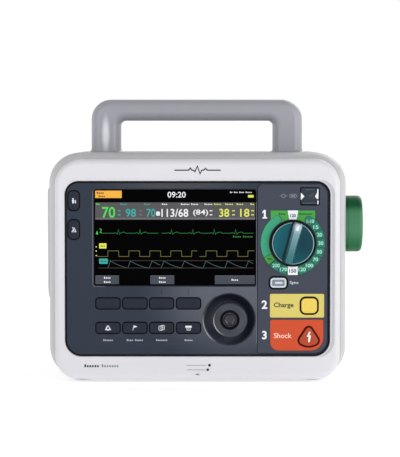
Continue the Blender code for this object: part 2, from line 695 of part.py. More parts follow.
def make_select_knob(assembly):
    """Knob that turns and presses: a fixed dish, a plunging shaft, and the knob with its cap."""
    centre = (SELECT_X, SELECT_Z)
    pivot = (SELECT_X, PANEL_FACE, SELECT_Z)
    dish_bore = SHAFT_BORE + 1.0
    dish = turned("select_dish", "Y", centre, [
        (DISH_RADIUS, DISH_FACE), (DISH_RADIUS, DISH_BACK), (dish_bore, DISH_BACK),
        (dish_bore, DISH_FLOOR), (SELECT_RADIUS + 0.6, DISH_FLOOR),
        (SELECT_RADIUS + 3.0, DISH_FLOOR - 1.0), (DISH_RADIUS - 0.8, DISH_FACE),
    ], ring=True)
    assembly.add(dish, "panel_dark")
    knob = turned("select_knob", "Y", centre, [
        (SHAFT_BORE, -2.0), (SHAFT_BORE, KNOB_REAR), (SELECT_RADIUS - 0.8, KNOB_REAR),
        (SELECT_RADIUS, KNOB_REAR - 0.8), (SELECT_RADIUS, SELECT_FRONT + 2.0),
        (SELECT_RADIUS - 0.6, SELECT_FRONT + 0.7), (SELECT_RADIUS - 2.0, SELECT_FRONT),
        (KNOB_RECESS_RADIUS + 0.5, SELECT_FRONT + 1.0),
        (KNOB_RECESS_RADIUS, SELECT_FRONT + 1.5), (KNOB_RECESS_RADIUS, KNOB_RECESS_FLOOR),
    ])
    assembly.add(knob, "key_dark", pivot)
    hexagon = circle(centre, HEX_CAP_RADIUS, 6)
    small_hexagon = circle(centre, HEX_CAP_RADIUS - 1.4, 6)
    cap = loft("select_cap", "Y", [(HEX_CAP_FACE, small_hexagon), (HEX_CAP_FACE + 0.8, hexagon),
                                   (KNOB_RECESS_FLOOR - GAP, hexagon)])
    assembly.add(cap, "key_dark", pivot)
    shaft = turned("select_shaft", "Y", centre, [(SHAFT_RADIUS, -1.7), (SHAFT_RADIUS, 14.0)],
                   steps=SMALL_TURN_STEPS)
    assembly.add(shaft, "steel", pivot)
    encoder_front, encoder_rear = 7.0, 16.0
    encoder = prism("select_encoder", "Y", rounded_rect(centred_box(centre, (16.0, 16.0)), 1.0),
                    encoder_front, encoder_rear)
    bore = prism("bore", "Y", circle(centre, SHAFT_BORE, SMALL_TURN_STEPS),
                 encoder_front - 1, encoder_rear + 1)
    assembly.add(cut(encoder, bore), "moulding_black")


def make_therapy_knob(assembly):
    """Large selector knob with a grip bar, and the rotary switch that its shaft turns."""
    centre = (DIAL_X, DIAL_Z)
    disc_rear = 3.0
    knob = turned("therapy_knob", "Y", centre, [
        (SHAFT_RADIUS, 18.0), (SHAFT_RADIUS, disc_rear), (THERAPY_KNOB_RADIUS, disc_rear),
        (THERAPY_KNOB_RADIUS, THERAPY_KNOB_FRONT + 0.6),
        (THERAPY_KNOB_RADIUS - 0.6, THERAPY_KNOB_FRONT),
        (THERAPY_KNOB_RADIUS - 2.0, THERAPY_KNOB_FRONT),
        (THERAPY_KNOB_RADIUS - 2.2, THERAPY_KNOB_FRONT + 0.5),
    ], steps=48)
    bar_half_length = THERAPY_KNOB_RADIUS - 2.0
    bar_box = (DIAL_X - 3.6, DIAL_X + 3.6, DIAL_Z - bar_half_length, DIAL_Z + bar_half_length)
    bar = loft("bar", "Y", [
        (THERAPY_KNOB_FRONT + 1.5, rounded_rect(bar_box, 2.0, 0.6)),
        (GRIP_BAR_FRONT + 1.2, rounded_rect(bar_box, 2.0, -0.4)),
        (GRIP_BAR_FRONT, rounded_rect(bar_box, 2.0, -1.4)),
    ])
    assembly.add(join(knob, bar), "knob_teal", pivot=(DIAL_X, PANEL_FACE, DIAL_Z),
                 turn=THERAPY_KNOB_ANGLE)

    switch = prism("therapy_switch", "Y", circle(centre, 25.0), FLANGE_FRONT, 6.5)
    body = prism("body", "Y", rounded_rect(centred_box(centre, (34.0, 34.0)), 2.0), 6.0, 20.0)
    bore = prism("bore", "Y", circle(centre, SHAFT_BORE, SMALL_TURN_STEPS), 4.0, 21.0)
    assembly.add(cut(join(switch, body), bore), "moulding_black")


# ---------------------------------------------------------------- left side

def make_connector_side(assembly):
    """Raised panel on the left with four round patient sockets set flush in it."""
    panel_back = CONNECTOR_FACE + 7.4
    seat = -HOUSING_HALF_WIDTH - GAP
    full = rounded_rect(CONNECTOR_PANEL, 8.0)
    inner = rounded_rect(CONNECTOR_PANEL, 8.0, -CONNECTOR_INSET)
    panel = loft("connector_panel", "X", [
        (CONNECTOR_FACE, rounded_rect(CONNECTOR_PANEL, 8.0, -1.6)), (CONNECTOR_FACE + 1.2, full),
        (seat, full), (seat, inner), (panel_back, inner),
    ])
    holes = [prism("hole", "X", circle((y, z), radius + GAP, SOCKET_STEPS),
                   CONNECTOR_FACE - 1, panel_back + 1)
             for y, z, radius, _, _ in SOCKETS.values()]
    assembly.add(cut(panel, *holes), "grey_shell")

    materials = {"ecg_socket": "port_green", "oximetry_socket": "socket_blue",
                 "pressure_port": "moulding_black", "gas_inlet": "charge_yellow"}
    mouth = CONNECTOR_FACE + 0.2
    flange_front = panel_back + 0.4
    for name, (y, z, radius, cavity, depth) in SOCKETS.items():
        socket = turned(name, "X", (y, z), [
            (cavity, mouth + depth), (cavity, mouth), (radius - 0.5, mouth), (radius, mouth + 0.5),
            (radius, flange_front), (radius + 1.8, flange_front), (radius + 1.8, flange_front + 2),
            (radius, flange_front + 2), (radius, mouth + depth + 2.5),
        ], steps=SOCKET_STEPS)
        assembly.add(socket, materials[name])


# ---------------------------------------------------------------- right side

def make_therapy_port(assembly):
    """Round green port: a barrel through the wall with an open socket, and its contact block."""
    centre = (PORT_Y, PORT_Z)
    seat = HOUSING_HALF_WIDTH + GAP
    rounding = 4.0
    profile = [(PORT_BARREL_RADIUS, PORT_FLOOR - 3), (PORT_BARREL_RADIUS, seat),
               (PORT_RADIUS, seat)]
    edge_steps = 3
    for step in range(edge_steps + 1):
        angle = math.radians(90.0 * step / edge_steps)
        profile.append((PORT_RADIUS - rounding * (1 - math.cos(angle)),
                        PORT_END - rounding * (1 - math.sin(angle))))
    profile += [(PORT_CAVITY_RADIUS + 0.8, PORT_END), (PORT_CAVITY_RADIUS, PORT_END - 0.8),
                (PORT_CAVITY_RADIUS, PORT_FLOOR)]
    port = turned("therapy_port", "X", centre, profile)
    tab_box = (PORT_Y - 5, PORT_Y + 5, PORT_Z - PORT_RADIUS - 4.5, PORT_Z - PORT_RADIUS + 2.8)
    tab = prism("tab", "X", rounded_rect(tab_box, 1.0, steps=2), seat, seat + 1.8)
    assembly.add(join(port, tab), "port_green")

    contacts = turned("therapy_contacts", "X", centre, [
        (PORT_CAVITY_RADIUS - GAP, PORT_FLOOR + GAP), (PORT_CAVITY_RADIUS - GAP, PORT_FLOOR + 3),
        (15.0, PORT_FLOOR + 3), (15.0, PORT_FLOOR + 4),
    ])
    pin_radius, pin_steps = 2.2, 12
    pins = [prism("pin", "X", circle(place, pin_radius, pin_steps), PORT_FLOOR + 2, PORT_FLOOR + 12)
            for place in arc(centre, 8.0, 90, 330, 2)]
    assembly.add(join(contacts, *pins), "moulding_black")


def make_printer(assembly):
    """Strip printer: a bay behind a door that swings down and carries the platen roller."""
    front, rear = PRINTER_FRAME[:2]
    frame = prism("printer_frame", "X", rounded_rect(PRINTER_FRAME, 2.0, steps=2),
                  PRINTER_FRAME_BACK, PRINTER_FRAME_FRONT)
    bay = prism("bay", "X", rounded_rect(PRINTER_FRAME, 2.0, -PRINTER_WALL, steps=2),
                PRINTER_FRAME_BACK + PRINTER_WALL, PRINTER_FRAME_FRONT + 1)
    cut(frame, bay)
    paper_centre = (PAPER_X, PAPER_Z)
    boss_radius = PAPER_CORE_RADIUS - GAP
    bosses = [prism("boss", "Y", circle(paper_centre, boss_radius, SMALL_TURN_STEPS), low, high)
              for low, high in ((front + 0.5, front + 11.0), (rear - 11.0, rear - 0.5))]
    assembly.add(join(frame, *bosses), "moulding_black")

    paper = turned("paper_roll", "Y", paper_centre, [
        (PAPER_RADIUS, front + 8.5), (PAPER_RADIUS, rear - 8.5),
        (PAPER_CORE_RADIUS, rear - 8.5), (PAPER_CORE_RADIUS, front + 8.5),
    ], ring=True)
    assembly.add(paper, "paper_white", pivot=(PAPER_X, (front + rear) / 2, PAPER_Z))

    head_box = (PRINTER_FRAME_BACK + PRINTER_WALL + GAP, PLATEN_X - PLATEN_RADIUS - 0.4,
                PLATEN_Z - 3.0, PLATEN_Z + 4.0)
    head = prism("print_head", "Y", rounded_rect(head_box, 1.0, steps=2), front + 6, rear - 6)
    assembly.add(head, "sheet_aluminium")

    # Door panel with two ears that hold the platen roller's axle.
    axle_radius = 2.0
    door = prism("printer_door", "X", rounded_rect(DOOR, 3.0, steps=4), DOOR_BACK, DOOR_FACE)
    round_edges(door, 0.6, 2)
    ears = []
    ear_depths = ((front + 2.2, front + 4.6), (rear - 4.6, rear - 2.2))
    for low, high in ear_depths:
        outline = arc((PLATEN_X, PLATEN_Z), 4.2, 90, 270, 2 * ARC_STEPS)
        outline += [(DOOR_BACK + 1.5, PLATEN_Z - 8.0), (DOOR_BACK + 1.5, PLATEN_Z + 4.2)]
        ears.append(prism("ear", "Y", outline, low, high))
    join(door, *ears)
    axle_bore = prism("bore", "Y", circle((PLATEN_X, PLATEN_Z), axle_radius + 0.1,
                                          SMALL_TURN_STEPS), front, rear)
    hinge_bore = prism("bore", "Y", circle(DOOR_PIVOT, HINGE_PIN_RADIUS + 0.2, SMALL_TURN_STEPS),
                       front - 2, rear + 2)
    pivot = (DOOR_PIVOT[0], (front + rear) / 2, DOOR_PIVOT[1])
    assembly.add(cut(door, axle_bore, hinge_bore), "grey_shell", pivot)

    hinge_pin = prism("printer_hinge_pin", "Y",
                      circle(DOOR_PIVOT, HINGE_PIN_RADIUS, SMALL_TURN_STEPS),
                      DOOR[0] - 3.5, DOOR[1] + 3.5)
    assembly.add(hinge_pin, "steel")

    inner_low, inner_high = ear_depths[0][1] + GAP, ear_depths[1][0] - GAP
    roller = turned("platen_roller", "Y", (PLATEN_X, PLATEN_Z), [
        (axle_radius, ear_depths[0][0]), (axle_radius, inner_low), (PLATEN_RADIUS, inner_low),
        (PLATEN_RADIUS, inner_high), (axle_radius, inner_high), (axle_radius, ear_depths[1][1]),
    ], steps=SOCKET_STEPS)
    assembly.add(roller, "rubber_dark", pivot=(PLATEN_X, (front + rear) / 2, PLATEN_Z))

    wall_inner = HOUSING_HALF_WIDTH - HOUSING_WALL
    face = HOUSING_HALF_WIDTH + 0.7
    cap = rounded_rect(RELEASE_BUTTON, 2.0, steps=3)
    flange = rounded_rect(RELEASE_BUTTON, 2.0, KEY_FLANGE, steps=3)
    release = loft("printer_release_button", "X", [
        (wall_inner - 2.4, flange), (wall_inner - 0.4, flange), (wall_inner - 0.4, cap),
        (face - 0.5, cap), (face, rounded_rect(RELEASE_BUTTON, 2.0, -0.5, steps=3)),
    ])
    release_centre = ((RELEASE_BUTTON[0] + RELEASE_BUTTON[1]) / 2,
                      (RELEASE_BUTTON[2] + RELEASE_BUTTON[3]) / 2)
    assembly.add(release, "handle_grey", pivot=(face, *release_centre))


# ---------------------------------------------------------------- rear and inside

def make_battery(assembly):
    """Battery pack that slides out of the rear, with a push latch in its rear face."""
    pack = prism("battery_pack", "Y", rounded_rect(BATTERY, 4.0), BATTERY_FRONT, BATTERY_REAR)
    round_edges(pack, 0.8, 2)
    recess = prism("recess", "Y", rounded_rect(BATTERY_LATCH, 2.0, GAP, steps=3),
                   BATTERY_REAR - LATCH_RECESS_DEPTH, BATTERY_REAR + 1)
    centre_x = (BATTERY[0] + BATTERY[1]) / 2
    centre_z = (BATTERY[2] + BATTERY[3]) / 2
    assembly.add(cut(pack, recess), "moulding_black", pivot=(centre_x, BATTERY_REAR, centre_z))
    latch_depth = 3.4
    latch = prism("battery_latch", "Y", rounded_rect(BATTERY_LATCH, 2.0, steps=3),
                  BATTERY_REAR - latch_depth, BATTERY_REAR - 0.2)
    latch_centre = ((BATTERY_LATCH[0] + BATTERY_LATCH[1]) / 2,
                    (BATTERY_LATCH[2] + BATTERY_LATCH[3]) / 2)
    assembly.add(latch, "handle_grey", pivot=(latch_centre[0], BATTERY_REAR, latch_centre[1]))


def make_rear_sockets(assembly):
    """Mains inlet with three blades, and the network socket, both flush with the rear."""
    mouth = HOUSING_REAR - 0.2
    flange_rear = HOUSING_REAR - HOUSING_WALL - 0.4
    outline = rounded_rect(inlet_box(INLET_HALF_SIZE), 2.0)
    flange = rounded_rect(inlet_box(INLET_HALF_SIZE), 2.0, 2.0)
    inlet = loft("mains_inlet", "Y", [
        (mouth - INLET_DEPTH - 3, outline), (flange_rear - 2, outline), (flange_rear - 2, flange),
        (flange_rear, flange), (flange_rear, outline), (mouth, outline),
    ])
    cavity_outline = rounded_rect(inlet_box(INLET_CAVITY_HALF_SIZE), (5.0, 5.0, 1.0, 1.0))
    cut(inlet, prism("cavity", "Y", cavity_outline, mouth - INLET_DEPTH, mouth + 1))
    blades = []
    for dx, dz in INLET_BLADES:
        box = centred_box((INLET_CENTRE[0] + dx, INLET_CENTRE[1] + dz), INLET_BLADE_SIZE)
        blades.append(prism("blade", "Y", rounded_rect(box, 0.4, steps=1),
                            mouth - INLET_DEPTH - 1, mouth - 2))
    assembly.add(join(inlet, *blades), "moulding_black")

    body = rounded_rect(centred_box(NETWORK_CENTRE, NETWORK_SIZE), 1.0, steps=2)
    network = prism("network_socket", "Y", body, mouth - NETWORK_DEPTH - 4, mouth)
    opening = rounded_rect(centred_box(NETWORK_CENTRE, NETWORK_CAVITY_SIZE), 0.4, steps=1)
    cut(network, prism("cavity", "Y", opening, mouth - NETWORK_DEPTH, mouth + 1))
    assembly.add(network, "silicone_grey")


def make_chassis(assembly):
    """Metal front plate that carries the panel, with a shelf that the battery slides on."""
    plate = prism("chassis", "Y", rounded_rect(CHASSIS_PLATE, CHASSIS_RADIUS),
                  CHASSIS_FRONT, CHASSIS_REAR)
    shelf_top = BATTERY[2] - 0.4
    left, right, root = BATTERY[0] - 2, BATTERY[1] + 2, CHASSIS_FRONT + 1
    shelf = prism("shelf", "Z", [(left, root), (right, root), (right, SHELF_REAR),
                                 (left, SHELF_REAR)], shelf_top - 2.0, shelf_top)
    assembly.add(join(plate, shelf), "sheet_aluminium")


def make_energy_capacitor(assembly):
    """Storage capacitor that holds the shock energy, lying behind the chassis plate."""
    radius, left, right = CAPACITOR_RADIUS, CAPACITOR_LEFT, CAPACITOR_RIGHT
    terminal_radius, terminal_length = 8.0, 6.0
    capacitor = turned("energy_capacitor", "X", (CAPACITOR_Y, CAPACITOR_Z), [
        (radius - 1, left), (radius, left + 1), (radius, right - 1), (radius - 1, right),
        (terminal_radius, right), (terminal_radius, right + terminal_length),
    ], steps=SOCKET_STEPS)
    assembly.add(capacitor, "sheet_aluminium")


def main():
    for leftover in list(bpy.data.objects):
        bpy.data.objects.remove(leftover)
    assembly = Assembly()
    for make in (make_front_bezel, make_case_gasket, make_rear_housing, make_handle, make_feet,
                 make_control_panel, make_therapy_panel, make_display, make_keypad_mat,
                 make_select_knob, make_therapy_knob, make_connector_side, make_therapy_port,
                 make_printer, make_battery, make_rear_sockets, make_chassis,
                 make_energy_capacitor):
        make(assembly)


main()
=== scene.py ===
"""Looks of the portable monitor defibrillator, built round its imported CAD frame.

Sizes are millimetres in the unit's own axes: X right from the middle of the front bezel, Y from
its front face to the rear, Z up from the surface that the feet stand on. Places come from the
CAD nodes' boxes, and to_world turns the millimetres into the frame's metres.
"""

import math

import bmesh
import bpy
from mathutils import Matrix, Vector


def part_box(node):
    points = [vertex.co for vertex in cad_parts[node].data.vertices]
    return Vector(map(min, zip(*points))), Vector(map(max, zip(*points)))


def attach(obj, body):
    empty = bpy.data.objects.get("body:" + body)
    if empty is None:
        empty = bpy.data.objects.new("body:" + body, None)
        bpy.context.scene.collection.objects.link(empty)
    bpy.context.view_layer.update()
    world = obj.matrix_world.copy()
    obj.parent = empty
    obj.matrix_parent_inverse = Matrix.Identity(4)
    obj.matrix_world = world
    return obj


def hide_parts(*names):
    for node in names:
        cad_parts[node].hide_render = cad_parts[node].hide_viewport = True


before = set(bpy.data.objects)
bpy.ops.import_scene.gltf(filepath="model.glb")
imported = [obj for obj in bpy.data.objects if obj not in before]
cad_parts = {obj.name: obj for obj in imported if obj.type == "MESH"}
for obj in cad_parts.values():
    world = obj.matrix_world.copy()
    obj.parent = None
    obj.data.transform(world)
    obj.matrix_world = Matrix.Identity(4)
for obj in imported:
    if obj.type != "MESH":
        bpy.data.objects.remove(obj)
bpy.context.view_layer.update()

MM = 0.001
UNIT = "main_unit"
bezel_low, bezel_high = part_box("front_bezel")
ORIGIN = Vector(((bezel_low.x + bezel_high.x) / 2, bezel_low.y, 0.0))


class Box:
    """A CAD node's box in millimetres, in the unit's own axes."""

    def __init__(self, node):
        low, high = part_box(node)
        low, high = (low - ORIGIN) / MM, (high - ORIGIN) / MM
        self.left, self.front, self.bottom = low
        self.right, self.rear, self.top = high
        self.x, self.y, self.z = (low + high) / 2

    def face_xz(self, shrink=0.0):
        return (self.left + shrink, self.right - shrink, self.bottom + shrink, self.top - shrink)

    def face_yz(self, shrink=0.0):
        return (self.front + shrink, self.rear - shrink, self.bottom + shrink, self.top - shrink)


BEZEL, HOUSING, PANEL = Box("front_bezel"), Box("rear_housing"), Box("control_panel")
THERAPY, GLASS = Box("therapy_panel"), Box("display_window")
PANEL_FLANGE = 3.0          # width hidden behind the bezel
KEY_FLANGE = 1.2            # width of a key's flange behind the panel
BEZEL_RADII = (22.5, 22.5, 25.0, 25.0)
PANEL_RADII = (15.5, 15.5, 13.0, 13.0)
THERAPY_RADII = (2.0, 12.5, 10.0, 5.0)
HOUSING_RADIUS = 30.0
SYNC_RADIUS, CHARGE_RADIUS = 3.0, 4.0
PLATE_RADIUS = 1.5
SHOCK_PLATE_RADII = (8.0, 12.0, PLATE_RADIUS, PLATE_RADIUS)
PLATE_RECESS_FLOOR = 1.4    # position in Y, under the charge and shock plates
DIAL_RADIUS = 31.0
DIAL_BLOCK_HALF = 21.4      # half the width of the light block over the dial
RATING_PLATE = (-98.0, -34.0, 94.0, 126.0)
GRIP_LEAN = 15.0            # clock angle of the therapy knob's grip in the CAD's pose
LIP_PAINTED_HIGHLIGHT = 245.0           # clock angle of the painted highlights on the select knob's lips
FINE = 14                   # straight runs in a quarter-round corner of a large shell
SMALL = 6                   # the same for a key or a small plate
ROUND = 72                  # straight runs in a full circle


# ---------------------------------------------------------------- outlines

def arc(centre, radius, start, end, steps):
    """Points along an arc; the angles are in degrees."""
    points = []
    for step in range(steps + 1):
        angle = math.radians(start + (end - start) * step / steps)
        points.append((centre[0] + radius * math.cos(angle), centre[1] + radius * math.sin(angle)))
    return points


def clock(centre, radius, angle):
    """Point at an angle clockwise from the top, as on a dial seen from the front."""
    return (centre[0] + radius * math.sin(math.radians(angle)),
            centre[1] + radius * math.cos(math.radians(angle)))


def rounded_rect(box, radii, grow=0.0, steps=SMALL):
    """Anticlockwise outline of (left, right, bottom, top) with rounded corners."""
    left, right, bottom, top = box[0] - grow, box[1] + grow, box[2] - grow, box[3] + grow
    if not isinstance(radii, tuple):
        radii = (radii,) * 4
    low_left, low_right, high_right, high_left = (max(radius + grow, 0.05) for radius in radii)
    return (arc((left + low_left, bottom + low_left), low_left, 180, 270, steps)
            + arc((right - low_right, bottom + low_right), low_right, 270, 360, steps)
            + arc((right - high_right, top - high_right), high_right, 0, 90, steps)
            + arc((left + high_left, top - high_left), high_left, 90, 180, steps))


def around(x, z, width, height):
    """Left, right, bottom and top of a box round a point."""
    return (x - width / 2, x + width / 2, z - height / 2, z + height / 2)


def circle(centre, radius, steps=ROUND):
    return arc(centre, radius, 0, 360, steps)[:-1]


def heart(centre, size):
    """Heart shape, size wide."""
    points = []
    for step in range(36):
        t = math.radians(10 * step)
        across = 16 * math.sin(t) ** 3
        up = 13 * math.cos(t) - 5 * math.cos(2 * t) - 2 * math.cos(3 * t) - math.cos(4 * t)
        points.append((centre[0] + across * size / 32, centre[1] + up * size / 32))
    return points


def capped_sector(centre, inner, outer, start, end, round_start=False, round_end=False):
    """Part of a ring between two clock angles, with half-round ends where asked."""
    middle, half = (inner + outer) / 2, (outer - inner) / 2
    trim = math.degrees(half / middle)
    low = start + trim if round_start else start
    high = end - trim if round_end else end
    steps = max(int((high - low) / 3), 3)
    angles = [low + (high - low) * step / steps for step in range(steps + 1)]
    points = [clock(centre, outer, angle) for angle in angles]
    if round_end:
        hub = clock(centre, middle, high)
        points += [clock(hub, half, high + 22.5 * step) for step in range(1, 8)]
    points += [clock(centre, inner, angle) for angle in reversed(angles)]
    if round_start:
        hub = clock(centre, middle, low)
        points += [clock(hub, half, low + 180 + 22.5 * step) for step in range(1, 8)]
    return points


# ---------------------------------------------------------------- solids

def world_point(point):
    """Point of the unit's own axes in the frame's metres."""
    return ORIGIN + Vector(point) * MM


def to_world(axis, position, point):
    """Place an outline point at a position along an axis, in the frame's metres."""
    place = list(point)
    place.insert("XYZ".index(axis), position)
    return world_point(place)


def add_loft(mesh, axis, sections, ring=False):
    """Closed shell through sections (position, outline) with equal point counts."""
    loops = [[mesh.verts.new(to_world(axis, position, point)) for point in outline]
             for position, outline in sections]
    pairs = list(zip(loops, loops[1:]))
    if ring:
        pairs.append((loops[-1], loops[0]))
    faces = []
    for first, second in pairs:
        for index in range(len(first)):
            following = (index + 1) % len(first)
            faces.append(mesh.faces.new((first[index], first[following],
                                         second[following], second[index])))
    if not ring:
        faces.append(mesh.faces.new(loops[0]))
        faces.append(mesh.faces.new(loops[-1]))
    bmesh.ops.recalc_face_normals(mesh, faces=faces)
    return faces


def place_object(name, data):
    """Object of a mesh, curve, light or camera, in the scene."""
    placed = bpy.data.objects.new(name, data)
    bpy.context.scene.collection.objects.link(placed)
    return placed


def place_mesh(name, mesh):
    data = bpy.data.meshes.new(name)
    mesh.to_mesh(data)
    mesh.free()
    return place_object(name, data)


def new_object(name, mesh):
    """Object from a bmesh, facing out."""
    if mesh.calc_volume(signed=True) < 0:
        bmesh.ops.reverse_faces(mesh, faces=mesh.faces)
    return place_mesh(name, mesh)


def loft(name, axis, sections, ring=False):
    mesh = bmesh.new()
    add_loft(mesh, axis, sections, ring)
    return new_object(name, mesh)


def prism(name, axis, outline, low, high):
    return loft(name, axis, [(low, outline), (high, outline)])


def cutter(axis, outline, low, high):
    return prism("cutter", axis, outline, low, high)


def film(name, box, radii, front, rear, edge, steps=SMALL):
    """Plate with a chamfer round its front; edge is the chamfer's inset and depth."""
    return loft(name, "Y", [(front, rounded_rect(box, radii, -edge[0], steps)),
                            (front + edge[1], rounded_rect(box, radii, 0.0, steps)),
                            (rear, rounded_rect(box, radii, 0.0, steps))])


def turned(name, axis, centre, profile, ring=False, steps=ROUND):
    """Solid of revolution from (radius, position) steps along its axis."""
    sections = [(position, circle(centre, radius, steps)) for radius, position in profile]
    return loft(name, axis, sections, ring)


def cluster(name, axis, places, profile, steps=16):
    """The same small turned solid at several places, in one mesh."""
    mesh = bmesh.new()
    for place in places:
        add_loft(mesh, axis, [(position, circle(place, radius, steps))
                              for radius, position in profile])
    return new_object(name, mesh)


def apply_modifiers(piece):
    evaluated = piece.evaluated_get(bpy.context.evaluated_depsgraph_get())
    mesh = bpy.data.meshes.new_from_object(evaluated)
    piece.modifiers.clear()
    piece.data = mesh
    return piece


def combine(piece, others, operation):
    for other in others:
        boolean = piece.modifiers.new("boolean", "BOOLEAN")
        boolean.operation = operation
        boolean.object = other
        apply_modifiers(piece)
        bpy.data.objects.remove(other)
    return piece


def cut(piece, *cutters):
    return combine(piece, cutters, "DIFFERENCE")


def join(piece, *additions):
    return combine(piece, additions, "UNION")


def soften(piece, width, segments=2, angle=40.0):
    """Round the edges that are sharper than the angle."""
    bevel = piece.modifiers.new("round", "BEVEL")
    bevel.width = width * MM
    bevel.segments = segments
    bevel.limit_method = "ANGLE"
    bevel.angle_limit = math.radians(angle)
    return apply_modifiers(piece)


def finish(piece, material, body=UNIT, slot=None, replaces=()):
    """Material, smooth shading, body and the CAD nodes that the piece stands for; the slot argument
    is not used.
    """
    piece.data.materials.clear()
    piece.data.materials.append(MATERIALS[material])
    piece.data.shade_smooth()
    piece.data.set_sharp_from_angle(angle=math.radians(32.0))
    weighted = piece.modifiers.new("normals", "WEIGHTED_NORMAL")
    weighted.keep_sharp = True
    weighted.weight = 100
    apply_modifiers(piece)
    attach(piece, body)
    if replaces:
        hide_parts(*replaces)
    return piece


def repaint(material, *nodes):
    """Procedural material on CAD nodes that stay as they are."""
    for node in nodes:
        for slot in bpy.data.objects[node].material_slots:
            slot.material = MATERIALS[material]


def rounded_profile(steps):
    """(inset, depth) pairs of a quarter-round edge of radius 1, from the face to the side."""
    angles = [math.radians(90.0 * step / steps) for step in range(steps + 1)]
    return [(1 - math.sin(angle), 1 - math.cos(angle)) for angle in angles]


def rounded_end(face, edge, steps, outline_of):
    """Sections from a side to a face, along a quarter-round edge; edge < 0 at a front face."""
    return [(face - edge * drop, outline_of(-abs(edge) * inset))
            for inset, drop in reversed(rounded_profile(steps))]


def grown(box, radii, steps=SMALL):
    """Function that gives the rounded outline of a box, grown by an amount."""
    return lambda grow: rounded_rect(box, radii, grow, steps)


# ---------------------------------------------------------------- printed and lit shapes, and painted light and shade

class Ink:
    """Thin shapes of one colour on one face, gathered in one mesh.

    The face is a plane at a position along an axis; the shapes stand proud of it on the side
    that outward (-1 or 1) says.
    """

    def __init__(self, name, material, face, body=UNIT, axis="Y", outward=-1, thickness=0.05,
                 slot=None):
        self.name, self.material, self.body, self.axis = name, material, body, axis
        self.low, self.high = face, face + outward * thickness
        self.slot = slot
        self.mesh = bmesh.new()

    def shape(self, outline):
        add_loft(self.mesh, self.axis, [(self.low, outline), (self.high, outline)])
        return self

    def bar(self, x, z, width, height, radius=0.0):
        radius = max(min(radius, width / 2 - 0.01, height / 2 - 0.01), 0.01)
        return self.shape(rounded_rect(around(x, z, width, height), radius, steps=3))

    def dot(self, x, z, radius):
        return self.shape(circle((x, z), radius, 20))

    def band(self, outer, inner):
        """Shape between two outlines with equal point counts."""
        add_loft(self.mesh, self.axis, [(self.low, outer), (self.high, outer),
                                        (self.high, inner), (self.low, inner)], ring=True)
        return self

    def ring(self, centre, outer, inner, steps=64):
        return self.band(circle(centre, outer, steps), circle(centre, inner, steps))

    def line(self, points, width):
        """Open line of one width, with mitred corners."""
        left, right = [], []
        for index, point in enumerate(points):
            before = Vector(points[max(index - 1, 0)])
            after = Vector(points[min(index + 1, len(points) - 1)])
            here = Vector(point)
            first = (here - before).normalized() if index else (after - here).normalized()
            second = (after - here).normalized() if index < len(points) - 1 else first
            along = (first + second).normalized()
            stretch = min(1.0 / max(along.dot(first), 0.35), 2.0)
            side = Vector((-along.y, along.x)) * (width / 2 * stretch)
            left.append(here + side)
            right.append(here - side)
        rows = []
        for a, b in zip(left, right):
            rows.append([self.mesh.verts.new(to_world(self.axis, position, point))
                         for position, point in ((self.low, a), (self.high, a), (self.high, b),
                                                 (self.low, b))])
        faces = [self.mesh.faces.new(rows[0]), self.mesh.faces.new(rows[-1])]
        for first, second in zip(rows, rows[1:]):
            for corner in range(4):
                following = (corner + 1) % 4
                faces.append(self.mesh.faces.new((first[corner], first[following],
                                                  second[following], second[corner])))
        bmesh.ops.recalc_face_normals(self.mesh, faces=faces)
        return self

    def words(self, x, z, width, height, lengths):
        """Stand-in for lettering: words of small blocks, as long as the letters they replace."""
        total = sum(lengths) + len(lengths) - 1
        step = width / total
        at = x - width / 2
        for length in lengths:
            for letter in range(length):
                tall = 1.0 if letter == 0 else 0.72
                self.bar(at + step / 2, z - height * (1 - tall) / 2, step * 0.68, height * tall,
                         step * 0.2)
                at += step
            at += step
        return self

    def digits(self, text, x, z, height, width=None, weight=0.0):
        """Digits or a plain word centred on a point, height tall and width wide."""
        curve = bpy.data.curves.new("digits", "FONT")
        curve.body = text
        curve.size = 1.0
        curve.offset = weight
        curve.resolution_u = 3
        holder = place_object("digits", curve)
        flat = bpy.data.meshes.new_from_object(
            holder.evaluated_get(bpy.context.evaluated_depsgraph_get()))
        bpy.data.objects.remove(holder)
        glyphs = bmesh.new()
        glyphs.from_mesh(flat)
        bmesh.ops.remove_doubles(glyphs, verts=glyphs.verts, dist=1e-6)
        xs = [vertex.co.x for vertex in glyphs.verts]
        ys = [vertex.co.y for vertex in glyphs.verts]
        scale = height / (max(ys) - min(ys))
        middle = Vector(((max(xs) + min(xs)) / 2, (max(ys) + min(ys)) / 2))
        squeeze = width / ((max(xs) - min(xs)) * scale) if width else 1.0
        ends = []
        for position in (self.low, self.high):
            made = {}
            for vertex in glyphs.verts:
                flat_point = (vertex.co.xy - middle) * scale
                flat_point.x *= squeeze
                made[vertex.index] = self.mesh.verts.new(
                    to_world(self.axis, position, (x + flat_point.x, z + flat_point.y)))
            ends.append(made)
        faces = []
        for made in ends:
            for face in glyphs.faces:
                faces.append(self.mesh.faces.new([made[v.index] for v in face.verts]))
        for edge in glyphs.edges:
            if len(edge.link_faces) == 1:
                a, b = edge.verts[0].index, edge.verts[1].index
                faces.append(self.mesh.faces.new((ends[0][a], ends[0][b],
                                                  ends[1][b], ends[1][a])))
        bmesh.ops.recalc_face_normals(self.mesh, faces=faces)
        glyphs.free()
        return self

    def done(self):
        """Piece of the shapes so far, with its material and body."""
        piece = place_mesh(self.name, self.mesh)
        piece.data.materials.append(MATERIALS[self.material])
        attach(piece, self.body)
        return piece


# ---------------------------------------------------------------- materials

STREAK_SCALE = 0.05         # draws the grain out 20 times along a streak's axis
GRAIN_HEIGHT = 0.00008      # metres
MOTTLE_SCALE = 38.0         # patches per metre
BACKLIGHT_SCALE = 60.0      # the same, for the unevenness of lit shapes
GLOSS_SPREAD = 0.04         # how far the roughness strays to either side


